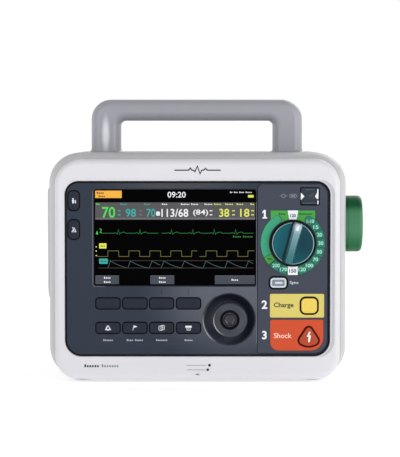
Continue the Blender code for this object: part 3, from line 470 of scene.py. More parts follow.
def linear(red, green, blue):
    """Linear colour from 8-bit display values."""
    channels = []
    for value in (red, green, blue):
        value /= 255.0
        channels.append(value / 12.92 if value <= 0.04045 else ((value + 0.055) / 1.055) ** 2.4)
    return (*channels, 1.0)


class Surface:
    """A new material's node tree, or an old one's, with short ways to add and link nodes."""

    def __init__(self, material):
        if isinstance(material, str):
            material = bpy.data.materials.new(material)
            material.use_nodes = True
        self.material, self.tree = material, material.node_tree
        self.shader = self.tree.nodes["Principled BSDF"]

    def add(self, kind, inputs=(), **settings):
        """Node with its settings first, because some of its inputs depend on them."""
        node = self.tree.nodes.new("ShaderNode" + kind)
        for name, value in settings.items():
            setattr(node, name, value)
        for name, value in dict(inputs).items():
            node.inputs[name].default_value = value
        return node

    def link(self, node, output, target, socket):
        self.tree.links.new(node.outputs[output], target.inputs[socket])

    def set(self, **values):
        """Values of the shader's own inputs, with underscores for the spaces in their names."""
        for name, value in values.items():
            self.shader.inputs[name.replace("_", " ")].default_value = value

    def noise(self, source, output, scale, detail=2.0):
        noise = self.add("TexNoise", {"Scale": scale, "Detail": detail})
        self.link(source, output, noise, "Vector")
        return noise

    def tint(self, noise, colour, darker, lighter, socket):
        """Mottle a colour between two shares of itself."""
        dark = tuple(channel * darker for channel in colour[:3]) + (1.0,)
        light = tuple(min(channel * lighter, 1.0) for channel in colour[:3]) + (1.0,)
        mix = self.add("Mix", {"A": dark, "B": light}, data_type="RGBA")
        self.link(noise, "Fac", mix, "Factor")
        self.link(mix, "Result", self.shader, socket)


def plastic(name, colour, roughness=0.45, grain=0.15, grain_size=0.35, mottle=0.04, coat=0.0,
            metallic=0.0, specular=0.5, streak=None):
    """Moulded surface: fine bump grain, slight mottling of colour and of gloss.

    grain is the bump strength, grain_size the grain's width in millimetres, and streak an axis
    along which the grain is drawn out, as on brushed or extruded metal.
    """
    surface = Surface(name)
    surface.set(Metallic=metallic, Coat_Weight=coat, Coat_Roughness=0.12,
                Specular_IOR_Level=specular)
    coordinates = surface.add("TexCoord")
    stretch = [STREAK_SCALE if axis == streak else 1.0 for axis in "XYZ"]
    mapping = surface.add("Mapping", {"Scale": stretch})
    surface.link(coordinates, "Object", mapping, "Vector")

    fine = surface.noise(mapping, "Vector", 1.0 / (grain_size * MM))
    bump = surface.add("Bump", {"Strength": grain, "Distance": GRAIN_HEIGHT})
    surface.link(fine, "Fac", bump, "Height")
    surface.link(bump, "Normal", surface.shader, "Normal")

    broad = surface.noise(mapping, "Vector", MOTTLE_SCALE, 4.0)
    surface.tint(broad, colour, 1 - mottle, 1 + mottle, "Base Color")
    gloss = surface.add("MapRange", {"To Min": max(roughness - GLOSS_SPREAD, 0.02),
                                     "To Max": min(roughness + GLOSS_SPREAD, 1.0)})
    surface.link(broad, "Fac", gloss, "Value")
    surface.link(gloss, "Result", surface.shader, "Roughness")
    return surface.material


def fade(material, first, second, start, end):
    """Painted light and shade: blend a material's colour from first at one point to second at
    another, in millimetres.
    """
    surface = Surface(material)
    low = world_point(start)
    along = world_point(end) - low
    coordinates = surface.add("TexCoord")
    shift = surface.add("VectorMath", {1: low}, operation="SUBTRACT")
    dot = surface.add("VectorMath", {1: along / along.length_squared}, operation="DOT_PRODUCT")
    ramp = surface.add("ValToRGB")
    ramp.color_ramp.interpolation = "EASE"
    ramp.color_ramp.elements[0].color = first
    ramp.color_ramp.elements[1].color = second
    surface.link(coordinates, "Object", shift, 0)
    surface.link(shift, "Vector", dot, 0)
    surface.link(dot, "Value", ramp, "Fac")
    surface.link(ramp, "Color", surface.shader, "Base Color")


def sheen(material, centre, reach, colour):
    """Painted light and shade: blend a material softly towards a second colour round a point; reach
    is half the size.
    """
    surface = Surface(material)
    base = surface.shader.inputs["Base Color"]
    under = base.links[0].from_socket
    coordinates = surface.add("TexCoord")
    mapping = surface.add("Mapping", {"Location": world_point(centre),
                                      "Scale": [size * MM for size in reach]},
                          vector_type="TEXTURE")
    ball = surface.add("TexGradient", gradient_type="SPHERICAL")
    soft = surface.add("MapRange", {"From Max": 0.8}, interpolation_type="SMOOTHSTEP")
    blend = surface.add("Mix", {"B": colour}, data_type="RGBA")
    surface.link(coordinates, "Object", mapping, "Vector")
    surface.link(mapping, "Vector", ball, "Vector")
    surface.link(ball, "Fac", soft, "Value")
    surface.link(soft, "Result", blend, "Factor")
    surface.tree.links.new(under, blend.inputs["A"])
    surface.link(blend, "Result", surface.shader, "Base Color")


def lit(name, colour, strength=1.0):
    """Glowing screen colour with the faint unevenness of a backlight."""
    surface = Surface(name)
    surface.set(Roughness=0.3, Specular_IOR_Level=0.2, Emission_Strength=strength,
                Base_Color=(0.01, 0.01, 0.01, 1.0))
    noise = surface.noise(surface.add("TexCoord"), "Object", BACKLIGHT_SCALE)
    surface.tint(noise, colour, 0.88, 1.1, "Emission Color")
    return surface.material


PLASTICS = {     # name: 8-bit colour, roughness, grain, grain width in mm, mottle, other values
    "bezel_white": ((207, 206, 211), 0.4, 0.1, 0.5, 0.015, {}),
    # painted shade for the crescent beside the panel's right corners
    "bezel_shade": ((176, 176, 182), 0.45, 0.1, 0.5, 0.015, {}),
    "housing_grey": ((184, 184, 187), 0.45, 0.35, 0.7, 0.03, {}),
    "handle_grey": ((150, 150, 158), 0.34, 0.2, 0.6, 0.03, {}),
    "panel_film": ((38, 47, 60), 0.38, 0.12, 0.4, 0.05, dict(specular=0.2)),
    "therapy_film": ((56, 61, 74), 0.38, 0.12, 0.4, 0.05, dict(specular=0.25)),
    "key_film": ((26, 32, 46), 0.38, 0.15, 0.4, 0.03, dict(specular=0.2)),
    "dish_dark": ((16, 18, 31), 0.3, 0.08, 0.4, 0.03, dict(specular=0.35)),
    "cap_dark": ((22, 26, 38), 0.28, 0.08, 0.4, 0.03, {}),
    "knob_grey": ((44, 48, 60), 0.34, 0.1, 0.4, 0.03, {}),
    # painted highlight along edges and seams
    "edge_painted_highlight": ((96, 100, 112), 0.34, 0.1, 0.4, 0.03, {}),
    # painted highlight on the select knob's lips
    "lip_painted_highlight": ((40, 44, 56), 0.34, 0.05, 0.4, 0.03, {}),
    # near-black that paints shade into gaps and recesses
    "gap_painted_shade": ((8, 8, 11), 0.7, 0.2, 0.5, 0.05, dict(specular=0.1)),
    "glass_black": ((0, 0, 1), 0.14, 0.0, 0.5, 0.0, dict(specular=0.02)),
    "lens_smoke": ((34, 44, 56), 0.16, 0.0, 0.5, 0.05, dict(specular=0.3)),
    "gasket_rubber": ((62, 62, 66), 0.8, 0.5, 0.5, 0.06, {}),
    "foot_rubber": ((48, 48, 51), 0.85, 0.6, 0.5, 0.06, {}),
    "black_plastic": ((34, 35, 38), 0.5, 0.35, 0.6, 0.05, {}),
    "silicone": ((130, 130, 136), 0.75, 0.3, 0.6, 0.04, {}),
    "plate_silver": ((176, 178, 182), 0.4, 0.05, 0.4, 0.02, dict(metallic=0.4)),
    "steel": ((190, 190, 194), 0.32, 0.1, 0.3, 0.03, dict(metallic=1.0, streak="X")),
    "aluminium": ((205, 206, 208), 0.38, 0.15, 0.3, 0.03, dict(metallic=1.0, streak="Z")),
    "brass": ((214, 178, 96), 0.28, 0.05, 0.3, 0.03, dict(metallic=1.0)),
    "paper": ((238, 238, 232), 0.9, 0.4, 0.25, 0.02, {}),
    "card": ((186, 150, 108), 0.9, 0.5, 0.4, 0.08, {}),
    "dial_dark": ((16, 76, 62), 0.5, 0.08, 0.4, 0.03, dict(specular=0.3)),
    "dial_plain": ((50, 150, 114), 0.48, 0.08, 0.4, 0.06, dict(specular=0.3)),
    "dial_number": ((30, 112, 92), 0.48, 0.08, 0.4, 0.08, dict(specular=0.3)),
    "dial_light": ((62, 150, 60), 0.48, 0.08, 0.4, 0.06, dict(specular=0.3)),
    "dial_mark": ((14, 84, 36), 0.5, 0.05, 0.4, 0.03, dict(specular=0.3)),
    "dial_mint": ((150, 216, 194), 0.5, 0.05, 0.4, 0.03, {}),
    "knob_teal": ((8, 92, 104), 0.32, 0.1, 0.4, 0.1, dict(coat=0.03, specular=0.15)),
    # painted shadow beside the therapy knob's grip
    "knob_painted_shadow": ((8, 44, 54), 0.5, 0.05, 0.4, 0.05, dict(specular=0.2)),
    "grip_teal": ((84, 134, 142), 0.36, 0.1, 0.4, 0.05, {}),
    # painted highlight on the therapy knob's rim
    "rim_pale_painted_highlight": ((128, 160, 162), 0.26, 0.05, 0.4, 0.03, {}),
    "charge_yellow": ((204, 189, 95), 0.45, 0.08, 0.4, 0.03, {}),
    "charge_bright": ((222, 193, 80), 0.42, 0.08, 0.4, 0.02, {}),
    "shock_orange": ((194, 68, 26), 0.45, 0.08, 0.4, 0.05, dict(specular=0.35)),
    "shock_deep": ((168, 62, 24), 0.42, 0.08, 0.4, 0.12, dict(specular=0.35)),
    # painted shade in the gap round the shock button
    "shock_gap_painted_shade": ((82, 8, 2), 0.5, 0.05, 0.4, 0.05, dict(specular=0.1)),
    "sync_pale": ((192, 200, 213), 0.5, 0.03, 0.4, 0.01, {}),
    "sync_grey": ((112, 120, 130), 0.45, 0.08, 0.4, 0.03, {}),
    "print_white": ((224, 227, 233), 0.5, 0.03, 0.4, 0.01, {}),
    "print_pale": ((162, 167, 176), 0.5, 0.03, 0.4, 0.01, {}),
    "print_grey": ((118, 122, 132), 0.5, 0.03, 0.4, 0.02, {}),
    "print_dark": ((36, 38, 46), 0.5, 0.03, 0.4, 0.02, dict(specular=0.2)),
    "print_pink": ((242, 196, 184), 0.5, 0.03, 0.4, 0.02, {}),
    "print_olive": ((66, 58, 28), 0.5, 0.03, 0.4, 0.02, {}),
    "port_green": ((64, 120, 86), 0.42, 0.12, 0.5, 0.05, dict(specular=0.12)),
    "socket_green": ((34, 110, 70), 0.4, 0.12, 0.5, 0.05, {}),
    "port_dark": ((14, 56, 38), 0.5, 0.15, 0.5, 0.05, {}),
    "socket_blue": ((44, 92, 160), 0.45, 0.12, 0.4, 0.04, {}),
    "socket_yellow": ((224, 204, 84), 0.45, 0.12, 0.4, 0.04, {}),
}

LIT_COLOURS = {
    "lit_green": (70, 220, 80),
    "lit_trace_green": (36, 122, 50),
    "lit_teal": (38, 168, 160),
    "lit_white": (240, 240, 244),
    "lit_yellow": (226, 232, 90),
    "lit_trace_yellow": (118, 116, 52),
    "lit_trace_teal": (62, 104, 98),
    "lit_trace_red": (86, 62, 70),
    "lit_orange": (250, 176, 58),
    "lit_band": (78, 77, 80),
    "lit_band_edge": (112, 110, 114),
    "lit_key": (58, 64, 76),
    "lit_key_edge": (88, 94, 104),
    "lit_dark": (60, 46, 20),
}


def make_materials():
    materials = {}
    for name, (colour, *values, others) in PLASTICS.items():
        materials[name] = plastic(name, linear(*colour), *values, **others)
    for name, colour in LIT_COLOURS.items():
        materials[name] = lit(name, linear(*colour))
    materials["lamp_green"] = lit("lamp_green", linear(60, 200, 90), 0.8)
    shade_materials(materials)
    return materials


def shade_materials(materials):
    """Painted light and shade: a painted highlight on the handle's left leg, a painted sheen on the
    panel, painted shading on the select dish, its knob, the therapy knob, the grip and the port,
    and painted highlights on the select knob's lips.
    """
    handle, dish = Box("handle_front_shell"), Box("select_dish")
    knob, port = Box("therapy_knob"), Box("therapy_port")
    lean, reach = math.radians(GRIP_LEAN), 17.0
    tip_x, tip_z = reach * math.sin(lean), reach * math.cos(lean)
    tip = (knob.x + tip_x, knob.front, knob.z + tip_z)
    # Painted light and shade: the grip fades from pale at its tip to dark teal at its other end.
    fade(materials["grip_teal"], linear(112, 152, 161), linear(30, 98, 102), tip,
         (knob.x - tip_x, knob.front, knob.z - tip_z))
    # Painted shade: the port is darker at its top and lighter below.
    fade(materials["port_green"], linear(14, 80, 46), linear(72, 126, 92),
         (port.x, port.y, port.top - 8.0), (port.x, port.y, port.top - 16.0))
    for name, centre, size, colour in (
            # Painted highlight: a soft pale streak down the front of the handle's left leg.
            ("handle_grey", (handle.left + 14.8, handle.front, 239.5), (5.3, 12, 24),
             (212, 212, 218)),
            # Painted sheen: the panel is lighter across its middle and near its top.
            ("panel_film", (34.0, PANEL.front, 86.0), (95, 30, 75), (83, 88, 99)),
            ("panel_film", (-20.0, PANEL.front, PANEL.top - 4.0), (80, 30, 22), (60, 62, 68)),
            # Painted light: the dish lightens towards the knob.
            ("dish_dark", (dish.x - 4.0, dish.front, dish.z - 2.5), (25, 60, 25), (92, 96, 108)),
            # Painted shade: the knob's left side is darker.
            ("knob_grey", (dish.x - 13.0, dish.front, dish.z + 1.0), (11, 60, 16), (26, 30, 42)),
            # Painted highlight at the dish's lower left.
            ("dish_dark", (dish.x - 14.0, dish.front, dish.z - 16.0), (18, 30, 16), (46, 50, 62)),
            # Painted shade: the therapy knob's right side is darker.
            ("knob_teal", (knob.x + 14.0, knob.front, knob.z), (22, 60, 30), (6, 58, 72)),
            # Painted highlight at the grip's tip.
            ("grip_teal", tip, (8, 30, 7.5), (168, 184, 194)),
            # Painted shade: the port's lower part is darker.
            ("port_green", (port.x, port.y, port.top - 57.0), (150, 150, 27), (24, 96, 54))):
        sheen(materials[name], centre, size, linear(*colour))
    # Painted highlights: the select knob's lips are lightened round one clock angle.
    for radius in (24.4, 16.0):
        x, z = clock((dish.x, dish.z), radius, LIP_PAINTED_HIGHLIGHT)
        sheen(materials["lip_painted_highlight"], (x, PANEL.front, z), (15, 30, 17), linear(150, 152, 160))


MATERIALS = make_materials()


# ---------------------------------------------------------------- shells

def bezel_outline(grow=0.0):
    return rounded_rect(BEZEL.face_xz(), BEZEL_RADII, grow, FINE)


def panel_box():
    return PANEL.face_xz(PANEL_FLANGE)


def make_bezel():
    """White front shell: round outer edge, a fine raised lip round the panel, and a painted
    crescent of shade for a faint step.
    """
    edge, wall, front_wall = 6.0, 3.2, 2.6
    opening = grown(panel_box(), PANEL_RADII, FINE)
    depth = BEZEL.rear
    sections = [(depth, bezel_outline(-wall)), (depth, bezel_outline(-0.5)),
                (depth - 0.5, bezel_outline())]
    sections += rounded_end(0.0, -edge, 9, bezel_outline)
    sections += [(position, opening(grow)) for position, grow in (
        (0.0, 2.6), (-0.3, 2.1), (-0.5, 1.5), (-0.4, 0.9), (0.1, 0.45), (0.7, 0.3),
        (front_wall, 0.3))]
    sections.append((front_wall, bezel_outline(-wall)))
    bezel = loft("bezel_shell", "Y", sections, ring=True)
    finish(bezel, "bezel_white", slot="white_shell", replaces=["front_bezel"])

    # Painted shade: a crescent of shade colour on the bezel at the panel's two right corners, for
    # the shade of a step.
    step, clear = 2.9, 1.5
    right = PANEL.right - PANEL_FLANGE + clear
    bottom, top = PANEL.bottom + PANEL_FLANGE - clear, PANEL.top - PANEL_FLANGE + clear
    low, high = PANEL_RADII[1] + clear, PANEL_RADII[2] + clear
    line = (arc((right - low, bottom + low), low, 285, 360, FINE)
            + arc((right - high, top - high), high, 0, 75, FINE))
    Ink("bezel_step_painted_shade", "bezel_shade", -0.45, slot="white_shell").shape(
        line + [(x + step, z) for x, z in reversed(line)]).done()


def housing_outline(inset=0.0):
    return rounded_rect(HOUSING.face_xz(), HOUSING_RADIUS, -inset, FINE)


def make_housing():
    """Grey rear shell with its openings, rear vents and moulded screw wells."""
    flare, flare_depth, rear_round, wall = 6.7, 18.0, 12.0, 3.0
    left, right, front, rear = HOUSING.left, HOUSING.right, HOUSING.front, HOUSING.rear
    sections = [(front + flare_depth * drop, housing_outline(flare * inset))
                for inset, drop in rounded_profile(10)]
    sections += rounded_end(rear, rear_round, 10, lambda grow: housing_outline(-grow))
    housing = loft("housing_shell", "Y", sections)
    cavity = loft("cavity", "Y", [
        (front - 1, housing_outline(flare + wall)), (front + flare_depth, housing_outline(wall)),
        (rear - rear_round, housing_outline(wall)), (rear - wall, housing_outline(rear_round))])
    door, port = Box("printer_door"), Box("therapy_port")
    bay = (door.front - 0.5, door.rear + 0.5, door.bottom - 1.6, door.top + 1.6)
    button = Box("printer_release_button").face_yz(KEY_FLANGE)
    right_holes = [circle((port.y, port.top - 27.8), 24.3), rounded_rect(bay, 3.0),
                   rounded_rect(button, 2.0, 0.3)]
    rear_holes = [rounded_rect(Box(node).face_xz(shrink), radius, 0.3) for node, shrink, radius in (
        ("battery_pack", 0, 4.0), ("mains_inlet", 2, 2.0), ("network_socket", 0, 1.0))]
    rear_holes += [rounded_rect(around(side * 24, HOUSING.top - 44 - 5.5 * row, 38, 2.4), 1.15,
                                steps=4) for row in range(7) for side in (-1, 1)]
    cutters = [cavity, cutter("X", rounded_rect(Box("connector_panel").face_yz(5), 3.0, 0.3),
                              left - 1, left + 6)]
    cutters += [cutter("X", hole, right - 6, right + 1) for hole in right_holes]
    cutters += [cutter("Y", hole, rear - 6, rear + 1) for hole in rear_holes]
    cutters += [cutter("Y", circle(place, 5.0, 32), rear - 1.8, rear + 1)
                for place in REAR_SCREWS]
    cutters.append(cutter("Y", rounded_rect(RATING_PLATE, 2.5, 0.4), rear - 0.4, rear + 1))
    cut(housing, *cutters)
    soften(housing, 0.35, 2, 50.0)
    finish(housing, "housing_grey", slot="grey_shell", replaces=["rear_housing"])


REAR_SCREWS = [(x, z) for x in (-118.0, 118.0) for z in (102.0, 196.0)] + [(118.0, 28.0)]


def make_screws():
    """Case screws with a cross recess, in their wells in the rear."""
    face = HOUSING.rear - 0.9
    cross = ((5.0, 1.2), (1.2, 5.0))
    # Painted shade: dark floors in the screws' cross recesses.
    floors = Ink("case_screw_recesses_painted_shade", "gap_painted_shade", face - 0.1, outward=1, slot="moulding_black")
    for place in REAR_SCREWS:
        for size in cross:
            floors.bar(*place, *size, 0.3)
    floors.done()
    for number, place in enumerate(REAR_SCREWS, start=1):
        head = turned(f"case_screw_{number}", "Y", place, [
            (4.3, face - 0.9), (4.3, face + 0.1), (4.0, face + 0.4), (3.0, face + 0.6)], steps=48)
        recesses = [cutter("Y", rounded_rect(around(*place, *size), 0.3, steps=3),
                           face - 0.1, face + 1) for size in cross]
        finish(cut(head, *recesses), "steel", slot="steel")


def make_gasket():
    """Rubber ring that fills the groove between the two shells."""
    gasket = Box("case_gasket")
    shape = loft("gasket_ring", "Y", [
        (gasket.front, bezel_outline(-1.0)), (gasket.rear, bezel_outline(-1.0)),
        (gasket.rear, bezel_outline(-2.8)), (gasket.front, bezel_outline(-2.8))], ring=True)
    finish(shape, "gasket_rubber", slot="rubber_dark", replaces=["case_gasket"])


def hoop_outline(hoop, leg, bar, base, inset):
    """Upside-down U of the handle with its edges drawn in by inset; the legs' feet stay."""
    outer, inner = 19.7 - inset, 5.0 + inset
    left, right, top = hoop.left + inset, hoop.right - inset, hoop.top - inset
    in_left, in_right = hoop.left + leg - inset, hoop.right - leg + inset
    in_top = hoop.top - bar + inset
    return ([(left, base), (in_left, base)]
            + arc((in_left + inner, in_top - inner), inner, 180, 90, 8)
            + arc((in_right - inner, in_top - inner), inner, 90, 0, 8)
            + [(in_right, base), (right, base)]
            + arc((right - outer, top - outer), outer, 0, 90, FINE)
            + arc((left + outer, top - outer), outer, 90, 180, FINE))


def make_handle():
    """Two rounded half shells that meet in a fine seam, with a collar at the foot of each leg."""
    leg, bar, in_plane, in_depth = 29.6, 21.2, 9.2, 12.5
    front, rear = Box("handle_front_shell"), Box("handle_rear_shell")
    for node, hoop, face, seam, way in (
            ("handle_front_shell", front, front.front, front.rear, 1),
            ("handle_rear_shell", rear, rear.rear, rear.front, -1)):
        insets = [(face + way * in_depth * drop, in_plane * inset)
                  for inset, drop in rounded_profile(12)]
        insets += [(seam - way * 0.25, 0.0), (seam, 0.25)]
        shell = loft(node.replace("shell", "half"), "Y", [
            (position, hoop_outline(hoop, leg, bar, hoop.bottom, inset))
            for position, inset in insets])
        finish(shell, "handle_grey", slot="handle_grey", replaces=[node])

    fillet, base = 3.2, front.bottom - 0.25
    for name, left in (("left", front.left), ("right", front.right - leg)):
        foot = grown((left, left + leg, front.front, rear.rear), 9.5, 10)
        collar = loft(f"handle_collar_{name}", "Z", [
            (base + fillet * inset, foot(fillet * drop)) for inset, drop in rounded_profile(6)])
        finish(collar, "handle_grey", slot="handle_grey")


def make_feet():
    """Turned rubber feet with a hollow in the sole and a stem that runs into the housing."""
    for place in ("front_left", "front_right", "rear_left", "rear_right"):
        node = "foot_" + place
        foot = Box(node)
        radius, pad_top = (foot.right - foot.left) / 2, HOUSING.bottom - 0.3
        pad = turned(node + "_pad", "Z", (foot.x, foot.y), [
            (radius - 3.2, 0.25), (radius - 2.6, 0.0), (radius - 0.8, 0.0), (radius - 0.2, 0.2),
            (radius, 0.7), (radius, pad_top), (3.0, pad_top), (3.0, foot.top)], steps=48)
        finish(pad, "foot_rubber", slot="rubber_dark", replaces=[node])


# ---------------------------------------------------------------- control panel

KEY_NODES = ([f"soft_key_{n}" for n in range(1, 5)] + [f"function_key_{n}" for n in range(1, 5)]
             + ["side_key_1", "side_key_2"])
KEY_GAP = 0.5               # clearance round a key in the panel
FLANGE_FRONT = 4.9          # front of the flanges that hold the keys behind the panel


def key_radius(node):
    return 4.0 if node.startswith("side") else 2.5


def make_panels():
    """Dark main panel and therapy panel, with soft edges round every opening."""
    dish, front, back = Box("select_dish"), PANEL.front, PANEL.rear
    panel = film("panel_film", panel_box(), PANEL_RADII, front, back, (0.25, 0.25), FINE)
    holes = [rounded_rect(THERAPY.face_xz(), THERAPY_RADII, 0.35, 10),
             rounded_rect(GLASS.face_xz(), 1.5, 1.25), circle((dish.x, dish.z), 24.95)]
    holes += [key_outline(node)(KEY_GAP) for node in KEY_NODES]
    cut(panel, *[cutter("Y", hole, front - 1, back + 1) for hole in holes])
    soften(panel, 0.18, 2, 60.0)
    finish(panel, "panel_film", slot="panel_dark", replaces=["control_panel"])

    window = grown(GLASS.face_xz(), 1.5)
    rim = loft("window_rim", "Y", [(front - 0.05, window(1.2)), (front + 0.9, window(0.15)),
                                   (back, window(0.15)), (back, window(1.2))], ring=True)
    finish(rim, "knob_grey", slot="panel_dark")
    make_therapy_panel(front, back)


def make_therapy_panel(front, back):
    """Plate with holes for the knob, window and buttons, and recesses for their plates."""
    panel = film("therapy_film", THERAPY.face_xz(), THERAPY_RADII, front, back, (0.25, 0.25), 10)
    dial, ready, knob = Box("dial_plate"), Box("ready_window"), Box("therapy_knob")
    holes = [circle((knob.x, knob.z), 22.2), rounded_rect(ready.face_xz(1.5), 1.0, 0.3),
             sync_outline(0.35), charge_outline(0.35), shock_outline(0.35)]
    block = (dial.x - DIAL_BLOCK_HALF, dial.x + DIAL_BLOCK_HALF, dial.z, dial.top)
    recesses = [circle((dial.x, dial.bottom + DIAL_RADIUS), DIAL_RADIUS + 0.15),
                rounded_rect(block, 0.4, 0.15),
                rounded_rect(Box("charge_plate").face_xz(), PLATE_RADIUS, 0.15),
                rounded_rect(Box("shock_plate").face_xz(), SHOCK_PLATE_RADII, 0.15)]
    cutters = [cutter("Y", hole, front - 1, back + 1) for hole in holes]
    cutters += [cutter("Y", recess, front - 1, PLATE_RECESS_FLOOR) for recess in recesses]
    finish(cut(panel, *cutters), "therapy_film", slot="panel_dark", replaces=["therapy_panel"])


def cap_piece(node, outline_of, material, slot, edge=0.45, dish=0.0):
    """Cap of a key: rounded edge, a face that may be dished, and its retaining flange."""
    face = Box(node).front
    sections = []
    if dish:
        sections += [(face + dish, outline_of(-2.6)), (face + dish * 0.9, outline_of(-1.9)),
                     (face + dish * 0.3, outline_of(-1.1))]
    sections += [(face + edge * drop, outline_of(-edge * inset))
                 for inset, drop in rounded_profile(5)]
    sections += [(FLANGE_FRONT, outline_of(0.0)), (FLANGE_FRONT, outline_of(KEY_FLANGE)),
                 (FLANGE_FRONT + 1.0, outline_of(KEY_FLANGE))]
    piece = loft(node.replace("_button", "") + "_cap", "Y", sections)
    return finish(piece, material, body=node, slot=slot, replaces=[node])


def key_outline(node):
    return grown(Box(node).face_xz(KEY_FLANGE), key_radius(node))


def sync_outline(grow):
    return rounded_rect(Box("sync_button").face_xz(KEY_FLANGE), SYNC_RADIUS, grow)


def charge_outline(grow):
    return rounded_rect(Box("charge_button").face_xz(KEY_FLANGE), CHARGE_RADIUS, grow)


def make_keys():
    """The ten black keys round the screen."""
    for node in KEY_NODES:
        cap_piece(node, key_outline(node), "key_film", "key_dark", dish=0.25)


def key_ink(node):
    """Ink for the icon in a key's dish, and the key's centre."""
    key = Box(node)
    return Ink(node + "_icon", "print_white", key.front + 0.2, body=node, thickness=0.08,
               slot="sync_white"), key.x, key.z


def make_key_icons():
    """Bell, flag, sheets and printer on the function keys; figure and lead on the side keys."""
    ink, x, z = key_ink("function_key_1")
    bell = arc((x, z + 0.9), 0.9, 0, 180, 8) + [(x - 2.2, z - 1.7), (x + 2.2, z - 1.7)]
    ink.line(bell + bell[:2], 0.9).dot(x, z - 2.4, 0.5).done()

    ink, x, z = key_ink("function_key_2")
    ink.line([(x - 2.0, z - 2.3), (x - 0.9, z + 2.4)], 0.5)
    ink.shape([(x - 0.9, z + 2.4), (x - 1.5, z - 0.1), (x + 2.6, z + 1.2)]).done()

    ink, x, z = key_ink("function_key_3")
    for shift in (-0.9, 0.9):
        sheet = rounded_rect(around(x + shift, z + shift * 0.4, 3.4, 4.0), 0.4, steps=2)
        ink.line(sheet + sheet[:2], 0.45)
    ink.bar(x + 0.9, z + 0.9, 1.8, 0.4).bar(x + 0.9, z - 0.1, 1.8, 0.4).done()

    ink, x, z = key_ink("function_key_4")
    ink.shape([(x - 3.0, z + 2.0), (x - 3.0, z + 0.2), (x + 3.0, z + 0.2), (x + 3.0, z + 2.0)])
    ink.line([(x - 1.7, z + 0.1), (x - 1.3, z - 2.2), (x + 1.6, z - 2.2), (x + 1.7, z + 0.1)], 0.5)
    ink.bar(x, z - 0.8, 1.7, 0.4).done()

    ink, x, z = key_ink("side_key_1")
    ink.dot(x - 0.6, z + 1.7, 0.75)
    ink.shape([(x - 1.6, z + 0.7), (x - 1.2, z - 2.6), (x, z - 2.6), (x + 0.4, z + 0.7)])
    ink.dot(x + 1.6, z + 0.1, 0.5)
    ink.shape([(x + 1.0, z - 0.6), (x + 1.2, z - 2.6), (x + 2.0, z - 2.6), (x + 2.2, z - 0.6)])
    ink.done()

    ink, x, z = key_ink("side_key_2")
    triangle = [(x - 2.0, z - 2.2), (x + 2.2, z - 2.2), (x + 0.6, z + 1.6)]
    ink.line(triangle + triangle[:1], 0.5)
    ink.dot(x - 0.8, z + 1.6, 0.6).bar(x, z - 0.8, 1.2, 1.2, 0.3).done()


